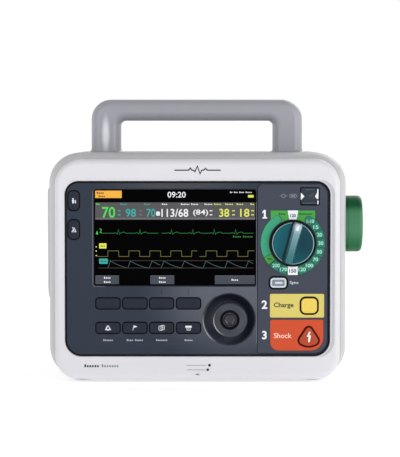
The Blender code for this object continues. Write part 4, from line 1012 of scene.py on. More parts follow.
def make_panel_print():
    """Ticks over the soft keys, the label strip, numerals and small marks on the dark panel, with
    painted shade round the keys and the panel's edge and painted highlights by the screen and the
    therapy panel.
    """
    front = PANEL.front
    ticks = Ink("soft_key_ticks", "print_dark", front, slot="panel_dark")
    columns = [Box(f"soft_key_{n}").x for n in range(1, 5)]
    key_top = Box("soft_key_1").top - KEY_FLANGE
    for x in columns:
        ticks.bar(x - 0.3, key_top + 6.3, 0.55, 6.6)
    ticks.done()
    # Painted shade: dark bands round the keys, in the gaps round them.
    wells = Ink("key_wells", "gap_painted_shade", front, slot="key_dark", thickness=0.04)
    for node in KEY_NODES:
        outline = key_outline(node)
        wells.band(outline(KEY_GAP + 0.6), outline(KEY_GAP))
    wells.done()
    # Painted shadow: a dark band inside the panel's edge, along the gap to the bezel.
    outline = grown(panel_box(), PANEL_RADII, FINE)
    border = Ink("panel_edge_painted_shadow", "gap_painted_shade", front, slot="panel_dark", thickness=0.04)
    border.band(outline(-0.3), outline(-1.6)).done()
    # Painted highlight: a pale line down the screen's left edge and along its bottom, where a bevel
    # would catch the light.
    edge, foot, turn = GLASS.left - 1.5, GLASS.bottom - 1.0, 2.6
    bevel = Ink("screen_bevel_painted_highlight", "edge_painted_highlight", front, slot="panel_dark", thickness=0.06)
    bevel.line([(edge, GLASS.top - 1.0), (edge, foot + turn)]
               + arc((edge + turn, foot + turn), turn, 180, 270, 8)[1:]
               + [(edge + 12.0, foot)], 0.45).done()

    # Painted highlight: a pale line along the seam at the therapy panel's left edge.
    seam = Ink("therapy_seam_painted_highlight", "edge_painted_highlight", front, slot="panel_dark", thickness=0.05)
    seam.bar(THERAPY.left - 1.0, (THERAPY.bottom + THERAPY.top) / 2 - 4.0, 0.5,
             THERAPY.top - THERAPY.bottom - 26.0, 0.2).done()

    strip = Ink("label_strip", "knob_grey", front, slot="panel_dark", thickness=0.04)
    low = Box("function_key_1").bottom + KEY_FLANGE
    left = Box("function_key_1").left + KEY_FLANGE
    right = Box("function_key_4").right - KEY_FLANGE
    outline = rounded_rect((left, right, low - 10.5, low - 3.0), 0.8, steps=3)
    strip.line(outline + outline[:2], 0.22).done()
    labels = Ink("key_labels", "print_pale", front, slot="sync_white")
    for x, letters in zip(columns, ((6,), (4, 5), (7,), (5,))):
        width = 1.6 * (sum(letters) + len(letters) - 1)
        labels.words(x, low - 6.8, width, 1.9, letters)
    labels.done()

    numerals = Ink("step_numerals", "print_white", THERAPY.front, slot="sync_white")
    step_x = THERAPY.left + 6.7
    tall, foot, stem = 8.2, 2.3, 0.9
    one_z = 162.9 - tall / 2
    one = [(-foot, 0.0), (foot, 0.0), (foot, 1.3), (stem, 1.3), (stem, tall), (-stem, tall),
           (-foot, tall - 1.7), (-foot, tall - 3.3), (-stem, tall - 2.5), (-stem, 1.3),
           (-foot, 1.3)]
    numerals.shape([(step_x + 0.2 + x, one_z + z) for x, z in one])
    for text, z in (("2", Box("charge_plate").z + 1.0), ("3", Box("shock_plate").z)):
        numerals.digits(text, step_x, z, tall, weight=0.028)
    sync = Box("sync_button")
    numerals.digits("Sync", sync.right + 6.2, sync.z - 0.2, 3.5, 8.4).done()

    ready = Box("ready_window")
    marks = Ink("power_marks", "print_grey", THERAPY.front, slot="sync_white")
    plug_x, cell_x, mark_z = ready.left - 14.6, ready.left - 5.6, ready.z + 0.4
    marks.ring((plug_x, mark_z), 2.0, 1.4, 24)
    marks.bar(plug_x + 2.9, mark_z, 1.7, 0.5).bar(plug_x - 2.9, mark_z, 1.7, 0.5)
    cell = rounded_rect(around(cell_x, mark_z, 6.0, 3.4), 0.6, steps=3)
    marks.line(cell + cell[:2], 0.5)
    marks.bar(cell_x, mark_z, 3.8, 1.4).bar(cell_x + 3.5, mark_z, 0.6, 1.4).done()


# ---------------------------------------------------------------- screen

def make_window():
    """Black glass over the whole display, with a fine bevel."""
    box = GLASS.face_xz()
    glass = loft("window_glass", "Y", [
        (GLASS.front, rounded_rect(box, 1.2, -0.4)),
        (GLASS.front + 0.3, rounded_rect(box, 1.5)), (GLASS.rear, rounded_rect(box, 1.5))])
    finish(glass, "glass_black", slot="screen_glass", replaces=["display_window"])


class Screen:
    """Maps shares of the lit picture's width and height to the unit's millimetres."""

    def __init__(self):
        self.left, self.right = GLASS.left + 1.0, GLASS.right - 0.6
        self.bottom, self.top = GLASS.bottom + 0.7, GLASS.top - 0.7
        self.inks = {}

    def x(self, share):
        return self.left + (self.right - self.left) * share

    def z(self, share):
        return self.bottom + (self.top - self.bottom) * share

    def ink(self, material, layer=0):
        key = (material, layer)
        if key not in self.inks:
            face = GLASS.front - 0.04 * layer
            self.inks[key] = Ink(f"screen_{material[4:]}_{layer}", material, face,
                                 thickness=0.03, slot="screen_glass")
        return self.inks[key]

    def points(self, shares):
        return [(self.x(x), self.z(z)) for x, z in shares]

    def block(self, material, x0, x1, z0, z1, layer=0, radius=0.3):
        box = (self.x(x0), self.x(x1), self.z(z0), self.z(z1))
        self.ink(material, layer).shape(rounded_rect(box, radius, steps=3))

    def digits(self, material, text, x0, x1, z, height, weight=0.0):
        """Digits that fill the width from x0 to x1."""
        self.ink(material, 1).digits(text, self.x((x0 + x1) / 2), self.z(z), height,
                                     self.x(x1) - self.x(x0), weight)

    def words(self, material, x0, x1, z, height, lengths, layer=1):
        self.ink(material, layer).words(self.x((x0 + x1) / 2), self.z(z),
                                        self.x(x1) - self.x(x0), height, lengths)

    def done(self):
        for ink in self.inks.values():
            ink.done()


def heart_trace(screen, baseline):
    """Heart trace: a small hump, a sharp spike and a low rounded wave at each beat."""
    height = 0.042
    for start, end, beats in ((0.035, 0.395, (0.145, 0.280)),
                              (0.415, 0.99, (0.477, 0.611, 0.745, 0.878))):
        points = [(start, baseline)]
        for beat in beats:
            points += [(beat - 0.030, baseline), (beat - 0.020, baseline + 0.006),
                       (beat - 0.012, baseline), (beat - 0.006, baseline - 0.006),
                       (beat, baseline + height), (beat + 0.006, baseline - 0.012),
                       (beat + 0.011, baseline), (beat + 0.024, baseline + 0.008),
                       (beat + 0.036, baseline + 0.013), (beat + 0.048, baseline)]
        points.append((end, baseline))
        screen.ink("lit_trace_green", 1).line(screen.points(points), 0.42)


def breath_trace(screen, low, high):
    """Square breath trace with the gap of the sweeping cursor."""
    period, held, edge = 0.1312, 0.068, 0.001
    for start, end, rise in ((0.010, 0.637, 0.078), (0.652, 0.995, 0.692)):
        points = [(start, low)]
        while rise < end:
            points += [(rise, low), (rise + edge, high)]
            fall = rise + held
            if fall >= end:
                points.append((end, high))
                break
            points += [(fall, high), (fall + edge, low)]
            rise += period
        if points[-1][0] < end:
            points.append((end, low))
        screen.ink("lit_trace_yellow", 1).line(screen.points(points), 0.42)


def pulse_trace(screen, low, high):
    """Pulse waves: a steep rise and a long curved fall, over two faint rules."""
    for z in (high + 0.004, low):
        screen.ink("lit_trace_red").line(screen.points([(0.02, z), (0.99, z)]), 0.3)
    rise, reach, steps = 0.017, 0.118, 12
    waves = ((0.078, 0.203), (0.203, 0.338), (0.338, 0.408), (0.412, 0.540), (0.540, 0.675),
             (0.675, 0.811), (0.811, 0.941), (0.941, 0.995))
    for start, end in waves:
        points = [(start, low), (start + 0.6 * rise, low + 0.6 * (high - low)),
                  (start + rise, high)]
        for step in range(1, steps + 1):
            x = start + rise + reach * step / steps
            if x <= end:
                points.append((x, low + (high - low) * (1 - step / steps) ** 1.6))
        screen.ink("lit_trace_teal", 1).line(screen.points(points), 0.4)


def make_screen():
    """Monitor picture: alarm box, clock, a band of readings, three traces and soft labels."""
    screen = Screen()
    screen.block("lit_orange", 0.0, 0.166, 0.920, 0.998)
    screen.words("lit_dark", 0.008, 0.055, 0.975, 2.0, (4,))
    screen.words("lit_dark", 0.020, 0.062, 0.940, 1.9, (4,))
    screen.digits("lit_white", "09:20", 0.452, 0.566, 0.955, 5.6, 0.012)
    screen.words("lit_white", 0.842, 0.980, 0.981, 1.3, (2, 3, 4, 5))
    screen.block("lit_yellow", 0.955, 0.990, 0.925, 0.952, 1)

    screen.block("lit_band", 0.0, 1.0, 0.690, 0.873)
    screen.block("lit_band_edge", 0.0, 1.0, 0.697, 0.708, 1, 0.1)
    label_z, label_height = 0.855, 1.5
    for material, x0, x1, lengths in (
            ("lit_green", 0.004, 0.030, (2,)), ("lit_teal", 0.155, 0.200, (4,)),
            ("lit_teal", 0.305, 0.345, (4,)), ("lit_white", 0.416, 0.452, (3,)),
            ("lit_white", 0.534, 0.645, (6, 5)), ("lit_white", 0.682, 0.732, (5,)),
            ("lit_yellow", 0.742, 0.788, (5,)), ("lit_yellow", 0.812, 0.862, (5,)),
            ("lit_yellow", 0.882, 0.926, (4,)), ("lit_yellow", 0.968, 0.994, (2,))):
        screen.words(material, x0, x1, label_z, label_height, lengths)
    reading_z = 0.763
    for material, text, x0, x1, z, height in (
            ("lit_green", "70", 0.043, 0.125, 0.768, 10.6),
            ("lit_teal", "98", 0.190, 0.255, reading_z, 7.8),
            ("lit_teal", "70", 0.320, 0.377, reading_z, 7.8),
            ("lit_white", "113/68", 0.414, 0.582, reading_z, 7.8),
            ("lit_white", "(84)", 0.612, 0.706, reading_z, 6.4),
            ("lit_yellow", "38", 0.775, 0.838, reading_z, 7.8),
            ("lit_yellow", "18", 0.906, 0.964, reading_z, 7.8)):
        screen.digits(material, text, x0, x1, z, height, 0.014)
    for material, x in (("lit_teal", 0.150), ("lit_band_edge", 0.284), ("lit_white", 0.724),
                        ("lit_yellow", 0.864), ("lit_yellow", 0.984)):
        for z in (0.785, 0.742):
            screen.ink(material, 1).bar(screen.x(x), screen.z(z), 2.6, 1.0, 0.2)
    screen.ink("lit_white", 1).bar(screen.x(0.393), screen.z(0.755), 3.6, 4.0, 0.8)

    heart_trace(screen, 0.547)
    lead = screen.ink("lit_green", 1)
    lead.digits("2", screen.x(0.034), screen.z(0.575), 3.8, 2.2)
    lead.shape(screen.points([(0.004, 0.535), (0.018, 0.535), (0.012, 0.575)]))
    screen.words("lit_trace_green", 0.860, 0.985, 0.512, 1.8, (5, 6))

    screen.block("lit_yellow", 0.024, 0.070, 0.385, 0.440, 1, 0.6)
    screen.words("lit_dark", 0.032, 0.062, 0.412, 1.5, (3,), 2)
    for z in (0.402, 0.358, 0.310):
        screen.ink("lit_yellow", 1).dot(screen.x(0.006), screen.z(z), 0.6)
    breath_trace(screen, 0.300, 0.360)
    screen.block("lit_teal", 0.024, 0.078, 0.222, 0.278, 1, 0.6)
    screen.words("lit_dark", 0.032, 0.070, 0.250, 1.5, (4,), 2)
    pulse_trace(screen, 0.178, 0.252)

    for x0, x1, rows in ((0.0, 0.148, 2), (0.344, 0.494, 2), (0.748, 0.998, 1)):
        screen.block("lit_key", x0, x1, 0.006, 0.098)
        screen.block("lit_key_edge", x0 + 0.004, x1 - 0.002, 0.092, 0.098, 1, 0.1)
        middle = (x0 + x1) / 2
        for row in range(rows):
            z = 0.052 if rows == 1 else 0.074 - 0.044 * row
            screen.words("lit_white", middle - 0.022, middle + 0.022, z, 1.7, (4,))
    screen.done()


# ---------------------------------------------------------------- knobs and buttons

def make_select_knob():
    """Dished ring, a satin knob with a round lip, and a dark six-sided cap in its well; painted
    highlights on the lips and painted shade in the well.
    """
    dish, knob, cap = Box("select_dish"), Box("select_knob"), Box("select_cap")
    centre, body = (dish.x, dish.z), "select_knob"
    ring = turned("select_ring", "Y", centre, [
        (24.7, dish.front + 0.4), (24.7, dish.rear), (4.3, dish.rear), (4.3, dish.rear - 1.6),
        (17.2, 4.6), (18.0, 4.3), (20.0, 3.0), (22.2, 1.7), (23.4, dish.front + 0.1),
        (24.0, dish.front - 0.15), (24.5, dish.front)], ring=True, steps=96)
    finish(ring, "dish_dark", slot="panel_dark", replaces=["select_dish"])
    # Painted highlight: an arc round the dish's lip, lightened towards one clock angle.
    lip = Ink("select_dish_lip_painted_highlight", "lip_painted_highlight", PANEL.front, slot="panel_dark", thickness=0.06)
    lip.line(arc(centre, 25.5, 120, 330, 60), 1.0).done()

    front, radius, edge = knob.front, 16.6, 2.0
    profile = [(3.3, -2.0), (3.3, 3.4), (15.8, 3.4), (radius, 2.6)]
    profile += [(radius - edge * inset, front + 1.1 * edge * drop)
                for inset, drop in reversed(rounded_profile(6))]
    profile += [(13.2, front + 0.25), (11.4, front + 0.75), (10.2, front + 1.0),
                (9.6, front + 1.2), (9.2, front + 1.7), (9.2, -5.0)]
    disc = turned("select_disc", "Y", centre, profile, steps=96)
    finish(disc, "knob_grey", body=body, slot="key_dark", replaces=["select_knob"])
    # Painted highlight: an arc on the knob's lip, lightened towards one clock angle; it turns with
    # the knob.
    lip = Ink("select_disc_lip_painted_highlight", "lip_painted_highlight", front + 0.1, body=body, slot="key_dark",
              thickness=0.12)
    lip.line(arc(centre, 15.3, 120, 300, 60), 0.9).done()

    hexagon, inner, core = ([clock(centre, size, 60 * corner + 30) for corner in range(6)]
                            for size in (6.5, 5.0, 3.4))
    button = loft("select_hex", "Y", [(cap.front + 0.7, core), (cap.front, inner),
                                      (cap.front + 1.2, hexagon), (cap.rear, hexagon)])
    soften(button, 0.35, 3, 12.0)
    finish(button, "cap_dark", body=body, slot="key_dark", replaces=["select_cap"])
    # Painted shade: a dark ring deep in the knob's well round the cap.
    well = Ink("select_well_painted_shade", "gap_painted_shade", -5.0, body=body, slot="key_dark", thickness=0.1)
    well.ring(centre, 9.15, 6.8).done()


def make_therapy_knob():
    """Teal selector with a pale rim that is a painted highlight, a waisted grip bar that points at
    the setting, and a painted shadow beside the grip.
    """
    body = "therapy_knob"
    node = Box(body)
    centre, face = (node.x, node.z), -5.4
    pivot = to_world("Y", 0.0, centre)
    turn = Matrix.Rotation(math.radians(GRIP_LEAN), 4, "Y")
    spin = Matrix.Translation(pivot) @ turn @ Matrix.Translation(-pivot)
    disc = turned("therapy_disc", "Y", centre, [
        (3.0, 18.0), (3.0, 3.0), (20.2, 3.0), (20.2, face + 1.2), (18.9, face + 1.2),
        (18.7, face + 0.4), (18.2, face), (17.2, face + 0.2), (12.0, face + 0.7),
        (4.0, face + 0.8)], steps=96)
    finish(disc, "knob_teal", body=body, slot="knob_teal", replaces=[body])
    # Painted highlight: the knob's rim is pale, for the light along its edge.
    rim = turned("therapy_rim", "Y", centre, [
        (18.95, face + 1.1), (19.1, face + 0.3), (19.5, face), (19.9, face + 0.2),
        (20.1, face + 0.9), (20.1, face + 2.0), (18.95, face + 2.0)], ring=True, steps=96)
    finish(rim, "rim_pale_painted_highlight", body=body, slot="knob_teal")
    # Painted shade: the knob's skirt is near-black, as the gap round the knob falls into shade.
    skirt = turned("therapy_skirt", "Y", centre, [
        (20.15, face + 1.0), (20.5, face + 0.7), (20.8, face + 1.0), (20.8, 2.6), (20.25, 2.6),
        (20.15, 2.4)], ring=True, steps=96)
    finish(skirt, "gap_painted_shade", body=body, slot="knob_teal")

    half_length, top, steps = 20.0, node.front + 0.1, 16

    def bar_outline(grow, length_grow=0.0, shift=0.0):
        """Long rounded bar, wider at its ends than at its waist."""
        right, left = [], []
        for step in range(steps + 1):
            along = -1 + 2 * step / steps
            half_width = 3.2 + 0.75 * along * along + grow
            half_width *= max(math.sqrt(max(1 - abs(along) ** 22, 0.0)), 0.7)
            x, z = centre[0] + shift, centre[1] + along * (half_length + length_grow)
            right.append((x + half_width, z))
            left.append((x - half_width, z))
        return right + left[::-1]

    bar = loft("therapy_grip", "Y", [
        (face + 1.5, bar_outline(1.3, 0.2)), (face - 1.0, bar_outline(0.5, 0.0)),
        (top + 3.0, bar_outline(0.0, -0.2)), (top + 1.2, bar_outline(-0.25, -0.4)),
        (top + 0.35, bar_outline(-0.75, -0.8)), (top, bar_outline(-1.5, -1.4))])
    bar.data.transform(spin)
    finish(bar, "grip_teal", body=body, slot="knob_teal")
    # Painted shadow: a dark sliver beside the grip's left side, on the disc.
    foot = loft("therapy_grip_painted_shadow", "Y", [
        (face + 0.9, bar_outline(0.6, -0.4, -2.6)), (face + 0.05, bar_outline(0.4, -0.6, -2.6)),
        (face - 0.1, bar_outline(0.0, -1.0, -2.6))])
    foot.data.transform(spin)
    finish(foot, "knob_painted_shadow", body=body, slot="knob_teal")
    index = Ink("therapy_index", "print_white", top, body=body, slot="sync_white", thickness=0.08)
    index.bar(centre[0], centre[1] + 15.4, 2.3, 5.0, 1.0).done().data.transform(spin)


def make_dial():
    """Printed dial: numbered segments, a plain arc, light blocks above and white marks."""
    plate = Box("dial_plate")
    outer, inner, face = DIAL_RADIUS, 22.4, plate.front
    centre = (plate.x, plate.bottom + outer)
    ground = prism("dial_ground", "Y", circle(centre, outer, 96), face, plate.rear)
    block = (centre[0] - DIAL_BLOCK_HALF, centre[0] + DIAL_BLOCK_HALF, centre[1] + inner - 2,
             plate.top)
    join(ground, prism("block", "Y", rounded_rect(block, 0.4, steps=3), face, plate.rear))
    cut(ground, cutter("Y", circle(centre, inner, 96), face - 1, plate.rear + 1))
    finish(ground, "dial_dark", slot="dial_green", replaces=["dial_plate"])
    low, high = inner + 0.35, outer - 0.3
    top, half = plate.top - 0.2, DIAL_BLOCK_HALF - 0.2

    def ink(name, material, thickness=0.13):
        return Ink(name, material, face, slot="dial_green", thickness=thickness)

    light = ink("dial_light_blocks", "dial_light", 0.06)
    for side in (-1, 1):
        low_arc = [clock(centre, low, side * angle) for angle in range(10, 44, 3)]
        edge = [(centre[0] + side * half, clock(centre, high, 43.3)[1]),
                (centre[0] + side * half, top), (centre[0] + side * 4.5, top)]
        light.shape(low_arc + edge)
    light.done()
    plain_span, first_start = (244.0, 334.0), 27.0
    rims = ink("dial_arc_rims", "dial_dark", 0.09)
    rims.shape(capped_sector(centre, low, high + 0.25, plain_span[0], plain_span[1] + 1.2,
                             round_end=True))
    rims.shape(capped_sector(centre, low, high + 0.25, first_start - 1.2, 46.0, round_start=True))
    rims.done()
    plain = ink("dial_plain_arc", "dial_plain")
    plain.shape(capped_sector(centre, low + 0.3, high, *plain_span, round_end=True)).done()

    edges = (46.6, 63.6, 81.2, 99.2, 117.2, 134.4, 152.2, 168.6)
    numbers = ("15", "20", "30", "50", "70", "100", "120")
    spans = list(zip(edges, edges[1:], numbers)) + [(191.4, 207.0, "170"), (207.0, 226.5, "200")]
    segments = ink("dial_segments", "dial_number")
    segments.shape(capped_sector(centre, low + 0.3, high, first_start, edges[0] - 1.0,
                                 round_start=True))
    for start, end, number in spans:
        segments.shape(capped_sector(centre, low + 0.3, high, start + 1.0, end - 1.0))
    segments.done()
    figures = Ink("dial_figures", "dial_mint", face - 0.13, slot="dial_green")
    for start, end, number in [(first_start + 4.0, edges[0], "1-10")] + spans:
        place = clock(centre, (low + high) / 2, (start + end) / 2)
        figures.digits(number, *place, 3.7, 5.0 if len(number) < 3 else 7.2, 0.03)
    figures.done()

    marks = ink("dial_light_mark", "dial_light")
    marks.shape(capped_sector(centre, low + 0.3, high, 228.0, 242.8)).done()
    words = Ink("dial_block_words", "dial_mark", face - 0.13, slot="dial_green")
    words.words(centre[0] - 10.4, plate.top - 3.4, 6.6, 2.2, (4,))
    words.words(centre[0] + 12.4, plate.top - 3.4, 13.0, 2.2, (7,))
    words.bar(*clock(centre, (low + high) / 2, 235.4), 4.0, 1.3, 0.4).done()

    white = Ink("dial_white_blocks", "print_white", face, slot="sync_white", thickness=0.13)
    white.shape([clock(centre, low, angle) for angle in (-9, -5, 0, 5, 9)]
                + [(centre[0] + 5.0, top), (centre[0] - 5.0, top)])
    foot = centre[1] - outer + 0.5
    white.shape([clock(centre, low, angle) for angle in (168, 173, 180, 187, 192)]
                + [(centre[0] - 4.7, foot), (centre[0] + 4.7, foot)])
    white.done()
    black = Ink("dial_white_figures", "print_dark", face - 0.13, slot="dial_green")
    black.digits("120", centre[0], centre[1] + low + 3.6, 3.1, 5.6, 0.03)
    black.digits("150", centre[0], (foot + centre[1] - low) / 2, 3.5, 6.6, 0.03).done()


def shock_outline(grow=0.0):
    """Rounded triangle: a tight apex, two round shoulders and a full round base."""
    button = Box("shock_button")
    x = button.x
    apex_z, apex_radius = button.top - KEY_FLANGE - 2.8, 2.8
    corner_radius, offset = 3.8, 5.2
    corner_z = apex_z - 9.7
    apex = arc((x, apex_z), apex_radius + grow, 30, 150, 8)
    left = arc((x - offset, corner_z), corner_radius + grow, 150, 240, 8)
    right = arc((x + offset, corner_z), corner_radius + grow, 300, 390, 8)
    base_radius = 2 * (offset + corner_radius * math.cos(math.radians(60)))
    foot = corner_z - corner_radius * math.sin(math.radians(60))
    base_centre = (x, foot + base_radius * math.cos(math.radians(30)))
    return apex + left + arc(base_centre, base_radius + grow, 240, 300, 10)[1:-1] + right


def plate_piece(node, radii, hole, material, slot):
    """Coloured plate with a soft edge and a hole for its button."""
    box = Box(node)
    plate = film(node + "_film", box.face_xz(), radii, box.front, box.rear, (0.2, 0.2))
    cut(plate, cutter("Y", hole, box.front - 1, box.rear + 1))
    finish(plate, material, slot=slot, replaces=[node])
    return box


def make_therapy_buttons():
    """Sync, charge and shock: coloured plates, black rings of painted shade round the caps, and
    their marks.
    """
    box = plate_piece("charge_plate", PLATE_RADIUS, charge_outline(1.8), "charge_yellow",
                      "charge_yellow")
    word = Ink("charge_word", "print_olive", box.front, slot="charge_yellow")
    word.digits("Charge", box.left + 13.2, box.z + 0.1, 6.0, 19.0, 0.028).done()
    box = plate_piece("shock_plate", SHOCK_PLATE_RADII, shock_outline(1.8), "shock_orange",
                      "shock_orange")
    word = Ink("shock_word", "print_pink", box.front, slot="sync_white")
    word.digits("Shock", box.left + 12.0, box.z - 0.4, 4.9, 17.0, 0.012).done()

    # Painted shade: dark rings round the caps, in the gaps round them.
    for name, outline_of, material, face, slot in (
            ("sync_gap_painted_shade", sync_outline, "gap_painted_shade", THERAPY.front, "panel_dark"),
            ("charge_gap_painted_shade", charge_outline, "gap_painted_shade", PLATE_RECESS_FLOOR, "charge_yellow"),
            ("shock_gap_painted_shade", shock_outline, "shock_gap_painted_shade", PLATE_RECESS_FLOOR, "shock_orange")):
        line = Ink(name, material, face, slot=slot, thickness=0.06)
        line.band(outline_of(1.75), outline_of(0.35)).done()

    node = "sync_button"
    button = Box(node)
    cap_piece(node, sync_outline, "sync_pale", "sync_white", 0.6)
    middle = Ink("sync_centre", "sync_grey", button.front, body=node, slot="sync_white",
                 thickness=0.1)
    middle.shape(sync_outline(-1.7)).done()
    pale = Ink("sync_bar", "sync_pale", button.front - 0.1, body=node, slot="sync_white")
    pale.bar(button.x + 0.4, button.z, 7.6, 2.0, 0.9).done()

    cap_piece("charge_button", charge_outline, "charge_bright", "charge_yellow", 0.8, dish=0.35)
    node = "shock_button"
    button = Box(node)
    x, z = button.x, button.z - 0.2
    cap_piece(node, shock_outline, "shock_deep", "shock_orange", 0.8)
    bolt = Ink("shock_bolt", "print_white", button.front, body=node, slot="sync_white",
               thickness=0.08)
    bolt.shape([(x + 0.5, z + 5.3), (x - 2.0, z + 0.0), (x - 0.2, z + 0.3), (x - 0.7, z - 5.2),
                (x + 0.9, z - 5.0), (x + 2.2, z + 1.6), (x + 0.4, z + 1.2), (x + 1.6, z + 4.4)])
    bolt.done()


def make_ready_window():
    """Smoked status window in a black frame that is wider at the right and bottom as painted shade,
    with painted highlights and reflections on the glass, and two white pointers that meet across
    it.
    """
    ready = Box("ready_window")
    box, face, z = ready.face_xz(1.5), ready.front, ready.z
    left, right, bottom, top = box
    window = film("ready_lens", box, 1.0, face, ready.rear, (0.4, 0.3))
    finish(window, "lens_smoke", slot="screen_glass", replaces=["ready_window"])
    # Partly painted shade: a black frame, wider at the right and bottom.
    frame_ink = Ink("ready_frame_and_painted_shade", "gap_painted_shade", face, slot="screen_glass", thickness=0.08)
    frame_ink.band(rounded_rect(box, 1.0, -0.35),
                   rounded_rect((left + 0.9, right - 1.3, bottom + 1.3, top - 0.8), 0.6))
    frame_ink.done()
    # Painted highlights: two pale lines across the glass.
    shine = Ink("ready_painted_highlights", "edge_painted_highlight", face, slot="screen_glass", thickness=0.06)
    shine.line([(left + 2.2, bottom + 2.0), (right - 2.6, bottom + 2.0)], 0.35)
    shine.line([(left + 4.6, top - 2.2), (right - 5.0, top - 2.2)], 0.35)
    shine.done()
    # Painted reflections: two lighter facets across the glass.
    facet = Ink("ready_painted_reflections", "knob_grey", face, slot="screen_glass", thickness=0.04)
    facet.shape([(left + 7.6, z + 1.0), (right - 4.8, z + 4.2), (right - 4.8, z + 1.4),
                 (left + 8.6, z - 1.8)])
    facet.shape([(left + 9.0, z - 2.6), (right - 4.8, z + 0.2), (right - 4.8, z - 2.4)])
    facet.done()
    marks = Ink("ready_pointers", "print_white", face - 0.08, slot="sync_white")
    marks.shape([(left + 0.5, z + 3.6), (left + 0.5, z - 3.6), (left + 3.9, z)])
    marks.shape([(right - 0.9, z + 7.0), (right - 1.9, z + 7.0), (right - 2.2, z + 3.4),
                 (right - 4.3, z), (right - 2.2, z - 2.6), (right - 1.0, z - 2.6)])
    marks.bar(right - 1.4, z - 5.8, 1.1, 3.6, 0.4).done()


# ---------------------------------------------------------------- left side

SOCKET_CAVITIES = {          # node: cavity radius, cavity depth, material, slot
    "ecg_socket": (9.5, 13.0, "socket_green", "port_green"),
    "oximetry_socket": (8.0, 13.0, "socket_blue", "socket_blue"),
    "pressure_port": (5.5, 11.0, "black_plastic", "moulding_black"),
    "gas_inlet": (4.4, 11.0, "socket_yellow", "charge_yellow"),
}
SOCKET_FLANGE = 1.8


def socket_place(node):
    """Centre in Y and Z, and the outer radius, of a patient socket."""
    box = Box(node)
    return (box.y, box.z), (box.rear - box.front) / 2 - SOCKET_FLANGE


def make_connector_panel():
    """Raised panel with soft edges and a long slope at its foot, and its marks."""
    panel = Box("connector_panel")
    face, seat, edge, slope, wall = panel.left + 0.1, HOUSING.left - 0.3, 1.7, 7.0, 5.0
    front, rear, bottom, top = panel.face_yz()

    def outline(inset, foot=0.0):
        box = (front + inset, rear - inset, bottom + inset + foot, top - inset)
        return rounded_rect(box, 8.0 - min(inset, 5.0) / 2, steps=10)

    sections = [(face + edge * drop, outline(edge * inset, slope * inset))
                for inset, drop in rounded_profile(8)]
    sections += [(seat, outline(0.0)), (seat, outline(wall)), (panel.right, outline(wall))]
    shell = loft("connector_shell", "X", sections)
    holes = [circle(centre, radius + 0.25, 64)
             for centre, radius in map(socket_place, SOCKET_CAVITIES)]
    cut(shell, *[cutter("X", hole, face - 1, panel.right + 1) for hole in holes])
    finish(shell, "housing_grey", slot="grey_shell", replaces=["connector_panel"])

    rules = Ink("connector_rules", "print_grey", face, axis="X", slot="rubber_dark")
    frame_line = rounded_rect((front + 5.5, rear - 5.5, bottom + 12.5, top - 5.5), 4.0)
    rules.band(frame_line, rounded_rect((front + 6.1, rear - 6.1, bottom + 13.1, top - 6.1), 3.4))
    rules.bar((front + rear) / 2, 139.0, rear - front - 18, 0.5, 0.2).done()

    marks = Ink("connector_marks", "print_dark", face, axis="X", slot="rubber_dark")
    y, z = socket_place("ecg_socket")[0]
    marks.band(heart((y, z - 16.0), 7.4), heart((y, z - 15.9), 5.4))
    y, z = socket_place("oximetry_socket")[0]
    drop = [(y, z - 11.6)] + arc((y, z - 16.9), 2.4, 35, -215, 20)
    marks.line(drop + drop[:2], 0.8)
    y, z = socket_place("pressure_port")[0]
    cuff = rounded_rect(around(y, z - 15.5, 7.6, 4.2), 1.2, steps=4)
    marks.line(cuff + cuff[:2], 0.8)
    marks.line([(y - 0.6, z - 13.2), (y - 0.6, z - 11.4), (y + 3.4, z - 11.4)], 0.8)
    y, z = socket_place("gas_inlet")[0]
    for row in range(3):
        wave = [(y - 4.0 + 0.5 * step, z - 12.6 - 2.1 * row + 0.5 * math.sin(step * 0.8))
                for step in range(17)]
        marks.line(wave, 0.7)
    marks.done()


def make_patient_sockets():
    """Four round sockets with their insulators, contacts and nozzles."""
    for node, (cavity, depth, material, slot) in SOCKET_CAVITIES.items():
        centre, radius = socket_place(node)
        box = Box(node)
        mouth, flange = box.left, HOUSING.left + 7.0
        shell = turned(node + "_shell", "X", centre, [
            (cavity, mouth + depth), (cavity, mouth + 0.8), (cavity + 0.3, mouth + 0.2),
            (cavity + 0.7, mouth), (radius - 0.8, mouth), (radius - 0.2, mouth + 0.2),
            (radius, mouth + 0.8), (radius, flange), (radius + SOCKET_FLANGE, flange),
            (radius + SOCKET_FLANGE, flange + 1.8), (radius, flange + 1.8), (radius, box.right)])
        finish(shell, material, slot=slot, replaces=[node])
    for node, island, rings in (("ecg_socket", 8.0, ((6.0, 9), (2.4, 3))),
                                ("oximetry_socket", 6.0, ((4.2, 7), (0.0, 1)))):
        centre = socket_place(node)[0]
        floor = Box(node).left + SOCKET_CAVITIES[node][1]
        places = [clock(centre, ring, 360 * pin / count) for ring, count in rings
                  for pin in range(count)]
        insulator = turned(node + "_insulator", "X", centre, [
            (island, floor), (island, floor - 4.2), (island - 0.5, floor - 4.8),
            (island - 1.2, floor - 5.0)], steps=48)
        finish(insulator, "black_plastic", slot="moulding_black")
        pins = cluster(node + "_pins", "X", places, [
            (0.75, floor - 4.5), (0.75, floor - 9.4), (0.55, floor - 9.9), (0.2, floor - 10.1)])
        finish(pins, "brass", slot="steel")
    for node, outer, bore in (("pressure_port", 2.9, 1.5), ("gas_inlet", 2.2, 1.0)):
        centre = socket_place(node)[0]
        floor = Box(node).left + SOCKET_CAVITIES[node][1]
        nozzle = turned(node + "_nozzle", "X", centre, [
            (outer, floor), (outer, floor - 3.0), (outer - 0.4, floor - 3.2),
            (outer - 0.4, floor - 5.4), (outer, floor - 5.8), (outer - 0.5, floor - 9.2),
            (bore + 0.3, floor - 9.4), (bore, floor - 9.1), (bore, floor)], ring=True, steps=40)
        finish(nozzle, "steel", slot="steel")


